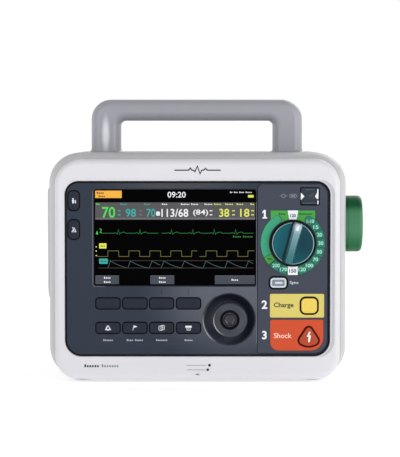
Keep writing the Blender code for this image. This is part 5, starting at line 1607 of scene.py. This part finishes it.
# ---------------------------------------------------------------- right side

def make_therapy_port():
    """Green socket for the therapy lead: grooved collar, keyed mouth and lower tab."""
    port, contacts = Box("therapy_port"), Box("therapy_contacts")
    radius = (port.rear - port.front) / 2
    centre = (port.y, port.top - radius)
    seat, end, cavity, barrel = HOUSING.right + 0.3, port.right, 20.5, 24.0
    floor, rounding = contacts.left - 0.3, 4.0
    profile = [(barrel, port.left), (barrel, seat), (radius, seat), (radius, seat + 2.0),
               (radius - 0.4, seat + 2.3), (radius - 0.4, seat + 2.8), (radius, seat + 3.1)]
    profile += [(radius - rounding * inset, end - rounding * drop)
                for inset, drop in reversed(rounded_profile(9))]
    profile += [(cavity + 1.0, end), (cavity + 0.3, end - 0.3), (cavity, end - 1.0),
                (cavity, floor)]
    shell = turned("therapy_port_shell", "X", centre, profile, steps=120)
    tab = grown((centre[0] - 5, centre[0] + 5, port.bottom, centre[1] - radius + 2.8), 1.5)
    join(shell, loft("tab", "X", [(seat, tab(0.0)), (seat + 1.2, tab(0.0)),
                                  (seat + 1.8, tab(-0.6))]))
    keys = [around(centre[0], centre[1] + cavity, 4.0, 3.0)]
    keys += [around(centre[0] + side * cavity, centre[1], 3.0, 4.0) for side in (-1, 1)]
    cut(shell, *[cutter("X", rounded_rect(key, 0.4, steps=2), end - 9, end + 1)
                 for key in keys])
    finish(shell, "port_green", slot="port_green", replaces=["therapy_port"])

    base = contacts.left
    disc = turned("therapy_contact_block", "X", centre, [
        (20.2, base), (20.2, base + 2.4), (19.6, base + 2.7), (15.6, base + 2.7),
        (15.0, base + 3.2), (14.4, base + 3.7), (10.0, base + 3.7)])
    finish(disc, "black_plastic", slot="moulding_black", replaces=["therapy_contacts"])
    places = [clock(centre, 8.0, angle) for angle in (0, 120, 240)]
    bushes = cluster("therapy_bushes", "X", places, [
        (3.8, base + 3.0), (3.8, base + 4.8), (3.3, base + 5.2), (2.3, base + 5.2)], 32)
    finish(bushes, "port_dark", slot="port_green")
    pins = cluster("therapy_pins", "X", places, [
        (2.2, base + 3.0), (2.2, contacts.right - 1.2), (1.9, contacts.right - 0.5),
        (1.2, contacts.right), (0.5, contacts.right)], 32)
    finish(pins, "brass", slot="steel")


def make_printer_door():
    """Door with a finger scoop, a paper slit, ribs, and ears that hold the platen's axle."""
    door, roller = Box("printer_door"), Box("platen_roller")
    face, back = door.right, door.right - 3.7
    outline = grown(door.face_yz(), 3.0, 8)
    sections = [(back, outline(-0.3)), (back + 0.4, outline(0.0))]
    panel = loft("printer_door_panel", "X", sections + rounded_end(face, 0.9, 5, outline))
    ear_width, ear_radius = 2.4, 4.2
    ear = arc((roller.x, roller.z), ear_radius, 90, 270, 20)
    ear += [(back + 1.5, roller.z - 8.0), (back + 1.5, roller.z + ear_radius)]
    join(panel, *[prism("ear", "Y", ear, low, low + ear_width)
                  for low in (roller.front, roller.rear - ear_width)])
    hinge = (door.right - 1.4, door.bottom + 2.0)
    scoop = (face + 4.0, door.top - 11.5)
    cutters = [
        cutter("Y", circle((roller.x, roller.z), 2.1, 32), door.front, door.rear),
        cutter("Y", circle(hinge, 1.1, 20), door.front - 2, door.rear + 2),
        turned("cutter", "Y", scoop, [(3.6, door.y - 20), (6.4, door.y - 15),
                                      (6.4, door.y + 15), (3.6, door.y + 20)], steps=48),
        cutter("X", rounded_rect(around(door.y, door.top - 3.4, 66.0, 1.7), 0.8, steps=4),
               back - 1, face + 1),
    ]
    for row in range(4):
        rib = around(door.y, door.bottom + 9.0 + 4.4 * row, 62.0, 1.3)
        cutters.append(cutter("X", rounded_rect(rib, 0.6, steps=4), face - 0.5, face + 1))
    cut(panel, *cutters)
    finish(panel, "housing_grey", body="printer_door", slot="grey_shell",
           replaces=["printer_door"])

    icon = Ink("printer_door_mark", "print_dark", face, body="printer_door", axis="X", outward=1,
               slot="rubber_dark", thickness=0.05)
    y, z = door.y, door.z - 3.0
    icon.shape([(y - 3.6, z + 1.8), (y - 3.6, z - 1.0), (y + 3.6, z - 1.0), (y + 3.6, z + 1.8)])
    sheet = [(y - 2.2, z + 2.2), (y - 2.2, z + 4.6), (y + 2.2, z + 4.6), (y + 2.2, z + 2.2)]
    icon.line(sheet, 0.5)
    slip = [(y - 2.0, z - 1.2), (y - 2.6, z - 4.2), (y + 1.8, z - 4.2), (y + 2.0, z - 1.2)]
    icon.line(slip, 0.5).done()


def make_printer_parts():
    """Ribbed platen on its steel axle, and the paper roll with its card core and loose end."""
    roller = Box("platen_roller")
    centre, radius, ear = (roller.x, roller.z), (roller.right - roller.left) / 2, 2.7
    low, high = roller.front + ear, roller.rear - ear
    steps = 144

    def ribbed(size):
        return [clock(centre, size - (0.12 if step % 4 < 2 else 0.0), 360 * step / steps)
                for step in range(steps)]

    platen = loft("platen_rubber", "Y", [
        (low, ribbed(radius - 0.5)), (low + 0.4, ribbed(radius)), (high - 0.4, ribbed(radius)),
        (high, ribbed(radius - 0.5))])
    finish(platen, "gasket_rubber", body="platen_roller", slot="rubber_dark",
           replaces=["platen_roller"])
    axle = turned("platen_axle", "Y", centre, [
        (1.6, roller.front), (2.0, roller.front + 0.4), (2.0, roller.rear - 0.4),
        (1.6, roller.rear)], steps=32)
    finish(axle, "steel", body="platen_roller", slot="steel")

    roll = Box("paper_roll")
    centre, radius, core, card = (roll.x, roll.z), (roll.right - roll.left) / 2, 6.0, 1.3
    turn_steps = 120
    spiral = [clock(centre, radius - 0.7 + 0.7 * step / (turn_steps - 1), 360 * step / turn_steps)
              for step in range(turn_steps)]

    def shrunk(amount):
        factor = 1 - amount / radius
        return [(centre[0] + (x - centre[0]) * factor, centre[1] + (z - centre[1]) * factor)
                for x, z in spiral]

    hole = [clock(centre, core + card, 360 * step / turn_steps) for step in range(turn_steps)]
    paper = loft("paper_wound", "Y", [
        (roll.front, shrunk(0.4)), (roll.front + 0.3, spiral), (roll.rear - 0.3, spiral),
        (roll.rear, shrunk(0.4)), (roll.rear, hole), (roll.front, hole)], ring=True)
    finish(paper, "paper", body="paper_roll", slot="paper_white", replaces=["paper_roll"])
    tube = turned("paper_core", "Y", centre, [
        (core + card, roll.front), (core + card, roll.rear), (core, roll.rear),
        (core, roll.front)], ring=True, steps=turn_steps)
    finish(tube, "card", body="paper_roll", slot="paper_white")


def make_release_button():
    """Rounded cap with a shallow dish, its retaining flange and an eject mark."""
    node = "printer_release_button"
    button = Box(node)
    outline = grown(button.face_yz(KEY_FLANGE), 2.0)
    back, face = button.left, button.right
    sections = [(back, outline(KEY_FLANGE)), (back + 2.0, outline(KEY_FLANGE)),
                (back + 2.0, outline(0.0))]
    sections += rounded_end(face, 0.8, 5, outline)
    sections += [(face - 0.1, outline(-1.3)), (face - 0.3, outline(-1.9))]
    cap = loft("release_cap", "X", sections)
    finish(cap, "handle_grey", body=node, slot="handle_grey", replaces=[node])
    mark = Ink("release_mark", "print_dark", face - 0.3, body=node, axis="X", outward=1,
               slot="rubber_dark", thickness=0.08)
    y, z = button.y, button.z
    mark.shape([(y - 2.2, z + 1.4), (y + 2.2, z + 1.4), (y, z - 1.6)])
    mark.bar(y, z + 2.3, 4.4, 0.7).done()


# ---------------------------------------------------------------- rear and inside

def make_battery():
    """Battery pack with grip ribs, a charge gauge, a latch well and contacts at its inner end."""
    pack, latch, body = Box("battery_pack"), Box("battery_latch"), "battery_pack"
    outline, rear = grown(pack.face_xz(), 4.0, 8), pack.rear
    sections = [(pack.front, outline(-1.0)), (pack.front + 1.0, outline(0.0))]
    shell = loft("battery_shell", "Y", sections + rounded_end(rear, 1.4, 6, outline))
    pocket = (pack.left + 9, pack.left + 58, pack.z - 14, pack.z + 14)
    cutters = [cutter("Y", rounded_rect(latch.face_xz(), 2.0, 0.3, 4), rear - 6, rear + 1),
               cutter("Y", rounded_rect(pocket, 2.0, 0.0, 4), rear - 0.5, rear + 1)]
    for row in range(4):
        groove = around(pack.right - 31.0, pack.z - 18 + 12 * row, 10.0, 3.0)
        cutters.append(cutter("Y", rounded_rect(groove, 1.4, steps=5), rear - 1.2, rear + 1))
    for rail in (pack.z - 20, pack.z + 20):
        for side in (pack.left, pack.right):
            cutters.append(cutter("Y", rounded_rect(around(side, rail, 2.4, 4.0), 0.8, steps=3),
                                  pack.front - 1, rear - 8))
    finish(cut(shell, *cutters), "black_plastic", body=body, slot="moulding_black",
           replaces=[body])
    label = (pack.left + 9.6, pack.left + 57.4, pack.z - 13.4, pack.z + 13.4)
    finish(prism("battery_label_blank", "Y", rounded_rect(label, 1.6), rear - 0.7, rear - 0.3),
           "plate_silver", body=body, slot="steel")

    lamps = Ink("battery_gauge", "lamp_green", rear, body=body, outward=1, slot="dial_green",
                thickness=0.15)
    sockets = Ink("battery_gauge_rims", "print_grey", rear, body=body, outward=1,
                  slot="rubber_dark", thickness=0.1)
    for step in range(5):
        place = (pack.left + 14.0 + 7.0 * step, pack.top - 7.5)
        lamps.dot(*place, 1.1)
        sockets.ring(place, 1.7, 1.2, 24)
    lamps.done()
    sockets.done()
    contacts = Ink("battery_contacts", "brass", pack.front, body=body, slot="steel",
                   thickness=0.3)
    for step in range(6):
        contacts.bar(pack.x - 20 + 8 * step, pack.z, 5.0, 12.0, 0.6)
    contacts.done()

    outline = grown(latch.face_xz(), 2.0, 5)
    button = loft("latch_button", "Y", [(latch.front, outline(0.0))]
                  + rounded_end(latch.rear, 0.5, 4, outline))
    grooves = [rounded_rect(around(latch.x, latch.z - 4.5 + 3 * row, 10.0, 1.2), 0.5, steps=3)
               for row in range(4)]
    cut(button, *[cutter("Y", groove, latch.rear - 0.6, latch.rear + 1) for groove in grooves])
    finish(button, "handle_grey", body="battery_latch", slot="handle_grey",
           replaces=["battery_latch"])


def pin_group(name, boxes, radius, steps, profile):
    """Small square contacts in one mesh, from (position, grow) steps along Y."""
    mesh = bmesh.new()
    for box in boxes:
        add_loft(mesh, "Y", [(position, rounded_rect(box, radius, grow, steps))
                             for position, grow in profile])
    return new_object(name, mesh)


def make_rear_sockets():
    """Mains inlet with steel blades, shielded network socket and the blank rating plate."""
    inlet, network = Box("mains_inlet"), Box("network_socket")
    mouth, depth, flange, seat = inlet.rear, 16.0, 2.0, HOUSING.rear - 3.4
    outline = grown(inlet.face_xz(flange), 2.0)
    shell = loft("inlet_shell", "Y", [(position, outline(grow)) for position, grow in (
        (inlet.front, 0.0), (seat - 2, 0.0), (seat - 2, flange), (seat, flange), (seat, 0.0),
        (mouth - 0.5, 0.0), (mouth - 0.15, -0.15), (mouth, -0.5))])
    cavity = grown(around(inlet.x, inlet.z, 24.6, 16.6), (5.0, 5.0, 1.0, 1.0))
    hollow = loft("cutter", "Y", [(mouth - depth, cavity(0.0)), (mouth - 0.8, cavity(0.0)),
                                  (mouth + 0.2, cavity(0.8))])
    finish(cut(shell, hollow), "black_plastic", slot="moulding_black", replaces=["mains_inlet"])
    blades = [around(inlet.x + dx, inlet.z + dz, 2.0, 4.0)
              for dx, dz in ((-7.0, -3.0), (0.0, 1.0), (7.0, -3.0))]
    finish(pin_group("inlet_blades", blades, 0.4, 2, (
        (mouth - depth - 0.5, 0.0), (mouth - 3.0, 0.0), (mouth - 2.0, -0.45))),
        "steel", slot="steel")

    mouth, depth = network.rear, 12.0
    outline = grown(network.face_xz(), 1.0)
    socket = loft("network_shell", "Y", [
        (network.front, outline(0.0)), (mouth - 0.4, outline(0.0)), (mouth, outline(-0.4))])
    opening = around(network.x, network.z, 12.0, 8.4)
    notch = around(network.x, network.z - 4.8, 5.0, 2.0)
    cut(socket, *[cutter("Y", rounded_rect(box, radius, steps=2), mouth - depth, mouth + 1)
                  for box, radius in ((opening, 0.4), (notch, 0.3))])
    finish(socket, "silicone", slot="silicone_grey", replaces=["network_socket"])
    shield = Ink("network_shield", "steel", mouth, outward=1, slot="steel", thickness=0.12)
    shield.band(rounded_rect(opening, 0.6, 1.3), rounded_rect(opening, 0.6, 0.5)).done()
    wires = [around(network.x - 4.2 + 1.2 * step, network.z + 3.6, 0.5, 0.7) for step in range(8)]
    finish(pin_group("network_contacts", wires, 0.1, 1, (
        (mouth - depth + 0.1, 0.0), (mouth - 2.5, 0.0))), "brass", slot="steel")

    outline, face = grown(RATING_PLATE, 2.5), HOUSING.rear - 0.02
    plate = prism("rating_plate_blank", "Y", outline(0.0), HOUSING.rear - 0.3, face)
    finish(plate, "plate_silver", slot="steel")
    border = Ink("rating_plate_line", "print_grey", face, outward=1, slot="rubber_dark",
                 thickness=0.02)
    border.band(outline(-1.4), outline(-1.8)).done()


def paint_inner_parts():
    """Inner parts keep their CAD shapes and get their own surfaces."""
    repaint("black_plastic", "lcd_module", "printer_frame", "therapy_switch", "select_encoder")
    repaint("silicone", "keypad_mat")
    repaint("aluminium", "chassis", "energy_capacitor", "print_head")
    repaint("steel", "printer_hinge_pin", "select_shaft", "handle_screw_left",
            "handle_screw_right")


# ---------------------------------------------------------------- bezel marks

def make_bezel_marks():
    """Pulse-line emblem over the panel, and the power lights with their leader lines below."""
    face = BEZEL.front
    top = (BEZEL.top + PANEL.top - PANEL_FLANGE) / 2
    emblem = Ink("pulse_emblem", "print_dark", face, slot="rubber_dark")
    beat = [(-22, 0), (-8.5, 0), (-6.8, 2.0), (-5.2, 0), (-3.8, 0), (-2.4, -1.4), (0, 4.0),
            (2.4, -3.4), (4.0, 0), (5.8, 0), (7.6, 1.8), (9.4, 0), (22, 0)]
    emblem.line([(x, top + z) for x, z in beat], 1.15).done()
    for name, material, x, width, letters in (("bold", "print_dark", -101.5, 14.6, 6),
                                              ("plain", "print_grey", -83.8, 16.8, 7)):
        mark = Ink("corner_mark_" + name, material, face, slot="rubber_dark", thickness=0.04)
        mark.words(x, 17.6, width, 2.9, (letters,)).done()
    lines = Ink("power_leaders", "print_grey", face, slot="rubber_dark")
    lines.bar(-1.2, 18.0, 19.5, 0.5, 0.2)
    lines.bar(-1.2, 13.7, 17.8, 0.5, 0.2)
    lines.bar(-0.1, 9.3, 2.2, 1.6, 0.6)
    lines.bar(-1.8, 9.3, 1.2, 0.5)
    lines.bar(1.6, 9.9, 1.2, 0.4)
    lines.bar(1.6, 8.7, 1.2, 0.4).done()
    lamps = Ink("power_lamps", "print_dark", face, slot="rubber_dark", thickness=0.25)
    lamps.dot(11.5, 18.1, 1.3).dot(9.8, 13.8, 1.2).done()


# ---------------------------------------------------------------- stage, light and camera

TARGET = Vector((0.0, 0.0, 0.13))      # the point that every light faces, in metres


def make_world():
    """Sky that is white at the horizon and darker overhead, so that level tops stay calm."""
    world = bpy.data.worlds.new("studio")
    bpy.context.scene.world = world
    world.use_nodes = True
    nodes, links = world.node_tree.nodes, world.node_tree.links
    coordinates = nodes.new("ShaderNodeTexCoord")
    parts = nodes.new("ShaderNodeSeparateXYZ")
    height = nodes.new("ShaderNodeMapRange")
    for name, value in (("From Min", 0.1), ("From Max", 0.9), ("To Min", 1.0), ("To Max", 0.42)):
        height.inputs[name].default_value = value
    links.new(coordinates.outputs["Generated"], parts.inputs["Vector"])
    links.new(parts.outputs["Z"], height.inputs["Value"])
    links.new(height.outputs["Result"], nodes["Background"].inputs["Color"])
    nodes["Background"].inputs["Strength"].default_value = 1.02


def make_stage():
    """Plain pale floor, soft studio light and the camera level with the front."""
    mesh = bmesh.new()
    bmesh.ops.create_grid(mesh, x_segments=1, y_segments=1, size=14.0)
    floor = place_mesh("floor", mesh)
    floor_paint = plastic("floor_pale", (0.9, 0.9, 0.9, 1.0), 0.9, 0.05, 3.0, 0.01, specular=0.0)
    shader = floor_paint.node_tree.nodes["Principled BSDF"]
    shader.inputs["Emission Color"].default_value = (1.0, 1.0, 1.0, 1.0)
    shader.inputs["Emission Strength"].default_value = 0.46
    floor.data.materials.append(floor_paint)
    make_world()

    def area(name, place, size, power):
        """Rectangular lamp at a place, aimed at the unit."""
        light = bpy.data.lights.new(name, "AREA")
        light.shape = "RECTANGLE"
        light.size, light.size_y = size
        light.energy = power
        lamp = place_object(name, light)
        lamp.location = place
        lamp.rotation_euler = (TARGET - Vector(place)).to_track_quat("-Z", "Y").to_euler()

    area("left_strip", (-1.15, -1.7, 0.55), (0.16, 1.3), 6.5)
    area("right_strip", (1.6, -1.35, 0.55), (0.18, 1.3), 12.5)
    area("right_fill", (1.9, 0.2, 0.5), (0.3, 1.2), 4.0)
    area("rear_light", (0.9, 1.9, 1.4), (1.2, 1.2), 12.0)

    data = bpy.data.cameras.new("camera")
    data.lens, data.sensor_width, data.clip_end = 148.5, 36.0, 60.0
    camera = place_object("camera", data)
    distance, pitch = 1.8, math.radians(2.8)
    shift, aim_height = 0.0024, 0.1493      # of the point in the picture's middle
    camera.location = (ORIGIN.x + shift, ORIGIN.y - distance * math.cos(pitch),
                       aim_height + distance * math.sin(pitch))
    camera.rotation_euler = (math.radians(90.0) - pitch, 0.0, 0.0)
    bpy.context.scene.camera = camera
    bpy.context.scene.view_settings.view_transform = "Standard"


make_stage()
make_bezel()
make_housing()
make_screws()
make_gasket()
make_handle()
make_feet()
make_panels()
make_keys()
make_key_icons()
make_panel_print()
make_window()
make_screen()
make_select_knob()
make_dial()
make_therapy_knob()
make_therapy_buttons()
make_ready_window()
make_bezel_marks()
make_connector_panel()
make_patient_sockets()
make_therapy_port()
make_printer_door()
make_printer_parts()
make_release_button()
make_battery()
make_rear_sockets()
paint_inner_parts()
